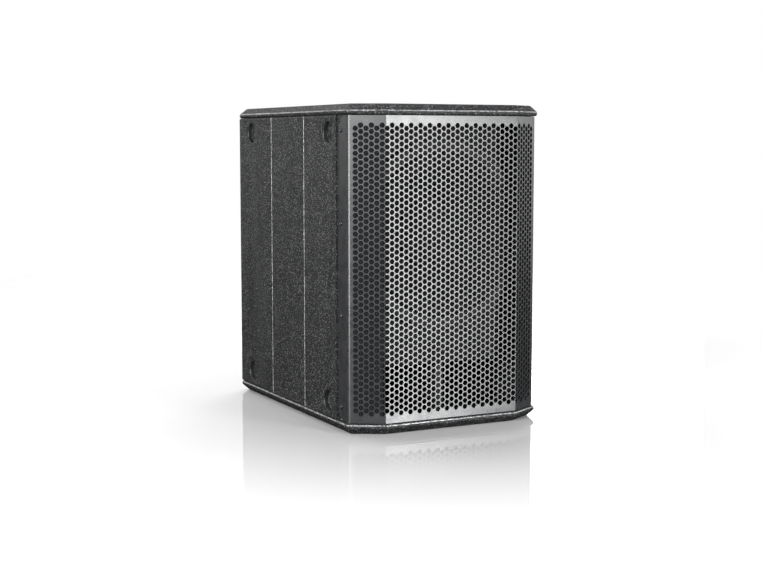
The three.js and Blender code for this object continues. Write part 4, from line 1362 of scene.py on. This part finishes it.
def flute(mesh, seat, start, end):
    """Presses shallow flutes into a turned knob's side between two heights."""
    for vertex in mesh.vertices:
        if not start - WELD <= vertex.co.y - seat.y <= end + WELD:
            continue
        away = Vector((vertex.co.x - seat.x, vertex.co.z - seat.z))
        if away.length < FLUTED_OUTSIDE:
            continue
        angle = math.atan2(away.y, away.x)
        scale = 1 - FLUTE_DEPTH * (0.5 - 0.5 * math.cos(KNOB_FLUTES * angle)) / away.length
        vertex.co.x = seat.x + away.x * scale
        vertex.co.z = seat.z + away.y * scale


def add_buttons():
    collar = [(4.4, 0), (6.4, 0), (6.3, 0.7), (5.8, 1.1), (4.6, 1.1), (4.4, 0.8)]
    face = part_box("amp_panel")[HIGH].y
    for node in ("polarity_button", "mode_button"):
        seat = seat_on(node, Y, LOW)
        length = size_mm(node)[Y]
        profile = [(0, 0), (3.8, 0), (3.8, length - 0.5), (3.3, length)]
        profile += [(2.4, length - 0.15), (0, length - 0.5)]
        turned(f"{node}_cap", profile, seat, "control_plastic", ease=0.2, steps=48, body=node, replaced=node)
        turned(f"{node}_collar", collar, Vector((seat.x, face, seat.z)), "jack_plastic", ease=0.15, steps=48)


CONTACTS = ((0, -4.6), (4.2, 2.2), (-4.2, 2.2))
PLUG_PIN = [(0, -4.3), (0.7, -4.3), (1.2, -4.9), (1.35, -5.6), (1.35, -18.5), (0, -18.5)]
SOCKET_PIN = [(0, -8), (0.75, -8), (0.75, -1.9), (1.2, -1.9), (1.2, -9), (0, -9)]
SOCKET_SCREW_INSET = 5.4 * MM


def add_sockets():
    for node in ("input_left", "input_right", "link_output_left", "link_output_right"):
        low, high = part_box(node)
        middle = centre_of(node)
        softened(f"{node}_shell", node, "jack_plastic", 0.3, segments=2)
        for index, side in enumerate((-1, 1)):
            x = middle.x + side * (high.x - low.x - SOCKET_SCREW_INSET) / 2
            z = middle.z - side * (high.z - low.z - SOCKET_SCREW_INSET) / 2
            screw(f"{node}_screw_{index}", SMALL_HEAD, x, high.y, z)
        pin = PLUG_PIN if node.startswith("link") else SOCKET_PIN
        for index, (u, v) in enumerate(CONTACTS):
            place = Vector((middle.x + u * MM, high.y, middle.z + v * MM))
            turned(f"{node}_contact_{index}", pin, place, "tab_steel", ease=0.1, steps=32)
    for node in ("release_tab_left", "release_tab_right"):
        softened(f"{node}_lever", node, "tab_steel", 0.3, body=node)


BLADES = ((-7, -2), (7, -2), (0, 3))
BLADE_HALF = (1.15, 2.15)
BLADE_ENDS = (1.5, 4.8)
INLET_SCREW_X = 20


def add_power_entry():
    low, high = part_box("mains_inlet")
    middle = centre_of("mains_inlet")
    softened("mains_inlet_shell", "mains_inlet", "jack_plastic", 0.5)
    half_x, half_z = (half * MM for half in BLADE_HALF)
    for index, (u, v) in enumerate(BLADES):
        x = middle.x + u * MM
        z = middle.z + v * MM
        low_corner = (x - half_x, low.y + BLADE_ENDS[0] * MM, z - half_z)
        high_corner = (x + half_x, high.y - BLADE_ENDS[1] * MM, z + half_z)
        block_piece(f"mains_blade_{index}", low_corner, high_corner, "tab_steel", 0.5)
    for index, side in enumerate((-1, 1)):
        screw(f"mains_inlet_screw_{index}", PAN_HEAD, middle.x + side * INLET_SCREW_X * MM, high.y, middle.z)
    softened("power_switch_bezel", "power_switch_frame", "jack_plastic", 0.5)
    softened("power_rocker_cap", "power_rocker", "control_plastic", 0.5, body="power_rocker")
    add_rocker_marks()


ROCKER_PIVOT_UNDER_BEZEL = 2.6
ROCKER_TILT = -8.0
ROCKER_SLOPE = 15.3
ROCKER_FACE = Vector((0, 4.45, 3.85))
RING_MARK = rectangle(1.1, 1.6, -0.1, 0.1)
BAR_MARK = rectangle(-0.3, 0.3, -0.1, 0.1)
BAR_HALF = 1.7 * MM


def add_rocker_marks():
    """The usual bar and ring on the rocker's two faces."""
    pivot = seat_on("power_switch_frame", Y, HIGH) - Vector((0, ROCKER_PIVOT_UNDER_BEZEL * MM, 0))
    tilt = Matrix.Rotation(math.radians(ROCKER_TILT), 4, "X")
    ring = lathe_mesh("rocker_ring", in_metres(RING_MARK), "Y", Vector(), 48)
    bar = upright_bar("rocker_bar", in_metres(BAR_MARK), -BAR_HALF, BAR_HALF)
    for mesh, end in ((bar, -1), (ring, 1)):
        at = Vector((0, ROCKER_FACE.y, ROCKER_FACE.z * end)) * MM
        slope = Matrix.Rotation(math.radians(-ROCKER_SLOPE * end), 4, "X")
        mesh.transform(Matrix.Translation(pivot) @ tilt @ Matrix.Translation(at) @ slope)
        finish_piece(mesh, "control_plastic", "power_rocker", look="panel_ink")


# --- circuit boards


# In millimetres: cans and coils are (radius, length, x, z), blocks are (x from, x to, depth, z from, z to).
BOARD_FACES = {"amplifier_board": 205.0, "power_supply_board": 191.0}
BOARD_CANS = {
    "amplifier_board": ((11, 32, -70, 340), (11, 32, -70, 368)),
    "power_supply_board": ((15, 40, -62, 200), (15, 40, -96, 200), (8, 26, 102, 190)),
}
BOARD_COILS = {"amplifier_board": ((14, 18, 60, 350), (14, 18, 60, 388))}
BOARD_BLOCKS = {
    "amplifier_board": ((-30, 25, 14, 330, 352), (-95, -15, 24, 420, 428)),
    "power_supply_board": ((-28, 28, 34, 176, 222), (50, 84, 20, 184, 214)),
}
WRAP = 0.4


def on_boards(table):
    """Each row of a table, with its board's name, its number and its board's face."""
    for node, rows in table.items():
        for index, row in enumerate(rows):
            yield node, index, BOARD_FACES[node], row


def add_board_parts():
    """Sleeved capacitor cans, wound coils and wrapped transformers over the boards' plain shapes."""
    for node, index, face, (radius, length, x, z) in on_boards(BOARD_CANS):
        seat = Vector((x, face, z)) * MM
        wide = radius + 0.3
        sleeve = [(0, 0.2), (wide, 0.2), (wide, -length + 4.5), (radius - 0.4, -length + 3.6)]
        sleeve += [(wide, -length + 2.4), (wide, -length - 0.3), (radius - 1.2, -length - 0.4)]
        sleeve += [(0, -length - 0.2)]
        turned(f"{node}_can_{index}", sleeve, seat, "jack_plastic", ease=0.4, steps=64)
        top = [(0, -length - 0.1), (radius - 1.5, -length - 0.1), (radius - 1.8, -length - 0.7)]
        top += [(0, -length - 0.6)]
        turned(f"{node}_can_top_{index}", top, seat, "motor_steel", ease=0.15, steps=64)
    for node, index, face, (radius, length, x, z) in on_boards(BOARD_COILS):
        winding = rectangle(radius - 4, radius + WRAP, 0, -length - WRAP)
        seat = Vector((x, face, z)) * MM
        turned(f"{node}_coil_{index}", winding, seat, "coil_copper", ease=1.5, steps=64)
    for node, index, face, (x0, x1, depth, z0, z1) in on_boards(BOARD_BLOCKS):
        low = Vector((x0 - WRAP, face - depth - WRAP, z0 - WRAP)) * MM
        high = Vector((x1 + WRAP, face + WRAP / 2, z1 + WRAP)) * MM
        block_piece(f"{node}_block_{index}", low, high, "magnet_ferrite", 1.2)


# --- camera, light and floor


CAMERA_AT = Vector((-1.1347, -2.2233, 0.4809))
CAMERA_AZIMUTH = math.radians(26.88)
CAMERA_DROP = math.radians(5.84)
CAMERA_LENS = 65.0
CAMERA_SENSOR = 36.0


def aim(obj, place, direction):
    obj.location = place
    obj.rotation_mode = "QUATERNION"
    obj.rotation_quaternion = direction.to_track_quat("-Z", "Y")


def add_camera():
    data = bpy.data.cameras.new("camera")
    data.lens = CAMERA_LENS
    data.sensor_width = CAMERA_SENSOR
    camera = new_object("camera", data)
    level = Vector((math.sin(CAMERA_AZIMUTH), math.cos(CAMERA_AZIMUTH), 0))
    aim(camera, CAMERA_AT, level * math.cos(CAMERA_DROP) - Vector((0, 0, math.sin(CAMERA_DROP))))
    bpy.context.scene.camera = camera


# Each softbox: where it stands, where it points, its width and height in metres, and its power in watts.
SOFTBOXES = {
    "overhead": ((0, 1.5, 2.9), (0, 0.3, 0), (3.2, 2.2), 66),
    "front_right": ((1.2, -3.0, 0.25), (0.0, -0.25, 0.3), (0.75, 2.5), 98),
    "left": ((-2.8, -1.5, 0.95), (-0.18, -0.22, 0.35), (1.0, 2.4), 112),
    "front_left": ((-2.0, -2.7, 1.0), (-0.1, -0.25, 0.35), (0.7, 1.2), 20),
    "right": ((3.0, -0.5, 1.0), (0.18, -0.2, 0.3), (1.2, 2.0), 14),
    "back": ((1.9, 2.6, 0.9), (0, 0.25, 0.3), (1.6, 1.6), 45),
}
WORLD_UP = 0.2
WORLD_DOWN = 0.03
FILL_HEIGHTS = (-0.15, 0.5)
BACKDROP_FOOT = (0.0, 0.03)
BACKDROP_TOP = (0.3, 0.38)
WHITE = (1, 1, 1, 1)


def add_light():
    for name, (place, target, size, power) in SOFTBOXES.items():
        data = bpy.data.lights.new(name, "AREA")
        data.shape = "RECTANGLE"
        data.size, data.size_y = size
        data.energy = power
        aim(new_object(name, data), place, Vector(target) - Vector(place))
    add_world()
    bpy.context.scene.view_settings.view_transform = "Standard"


def add_world():
    """A white backdrop, also mirrored low down in the floor, and a dim fill, brighter from above."""
    world = bpy.data.worlds.new("studio")
    bpy.context.scene.world = world
    nodes = Nodes(world, "Generated")
    height = nodes.add("ShaderNodeSeparateXYZ", {0: nodes.place}).outputs["Z"]
    fill = nodes.tree.nodes["Background"]
    nodes.link(WHITE, fill.inputs["Color"])
    nodes.link(nodes.spread(height, *FILL_HEIGHTS, WORLD_DOWN, WORLD_UP), fill.inputs["Strength"])
    backdrop = nodes.add("ShaderNodeBackground", {"Color": WHITE}).outputs[0]
    rays = nodes.add("ShaderNodeLightPath", {}).outputs
    above = nodes.spread(height, *BACKDROP_FOOT)
    band = nodes.maths("MULTIPLY", above, nodes.spread(height, *BACKDROP_TOP, 1, 0))
    mirrored = nodes.maths("MULTIPLY", rays["Is Glossy Ray"], band)
    share = nodes.maths("MAXIMUM", rays["Is Camera Ray"], mirrored)
    nodes.end("World Output", nodes.mix(share, fill.outputs[0], backdrop))


FLOOR_R = 3.0
FLOOR_FADE = (1.0, 2.8)
FLOOR_TONES = ((0.95, 0.95, 0.95), (0.97, 0.97, 0.97))
FLOOR_MIRROR = (0.37, 0.04)
MIRROR_ROUGHNESS = 0.03
MIRROR_FADE = (0.28, 0.85)
MIRROR_SLANT = (0.4, 0.78)
MIRROR_FROM_ABOVE = 0.1


def floor_material():
    """A white satin sheet with a faint mirror near the object, fading out into the backdrop."""
    f = Finish("pale_floor", (0.96, 0.96, 0.96), 0.5)
    tone = f.blend(f.spread(f.noise(2.5, 2), 0.3, 0.7), *FLOOR_TONES)
    plain = f.add("ShaderNodeBsdfDiffuse", {"Color": tone}).outputs[0]
    mirror = f.add("ShaderNodeBsdfGlossy", {"Roughness": MIRROR_ROUGHNESS}).outputs[0]
    away = f.add("ShaderNodeVectorMath", {0: f.place}, operation="LENGTH").outputs["Value"]
    slant = f.add("ShaderNodeLayerWeight", {"Blend": 0.5}).outputs["Facing"]
    near = f.spread(away, *MIRROR_FADE, *FLOOR_MIRROR)
    share = f.maths("MULTIPLY", near, f.spread(slant, *MIRROR_SLANT, MIRROR_FROM_ABOVE, 1.0))
    clear = f.add("ShaderNodeBsdfTransparent", {}).outputs[0]
    f.end("Material Output", f.mix(f.spread(away, *FLOOR_FADE), f.mix(share, plain, mirror), clear))


def add_floor():
    mesh = bpy.data.meshes.new("floor")
    corners = [(x, y, 0) for x, y in rectangle(-FLOOR_R, FLOOR_R, -FLOOR_R, FLOOR_R)]
    mesh.from_pydata(corners, [], [(0, 1, 2, 3)])
    floor = new_object("floor", mesh)
    floor_material()
    dress(floor, "pale_floor")
    floor.visible_diffuse = False
    floor.visible_glossy = False
    floor.visible_shadow = False


# --- making it


add_camera()
add_light()
add_floor()
dress_rest()
build_grille()
add_facet_foam()
add_boards()
add_cups_and_feet()
add_driver()
add_handle()
add_amp_panel()
add_knobs()
add_buttons()
add_sockets()
add_power_entry()
add_board_parts()
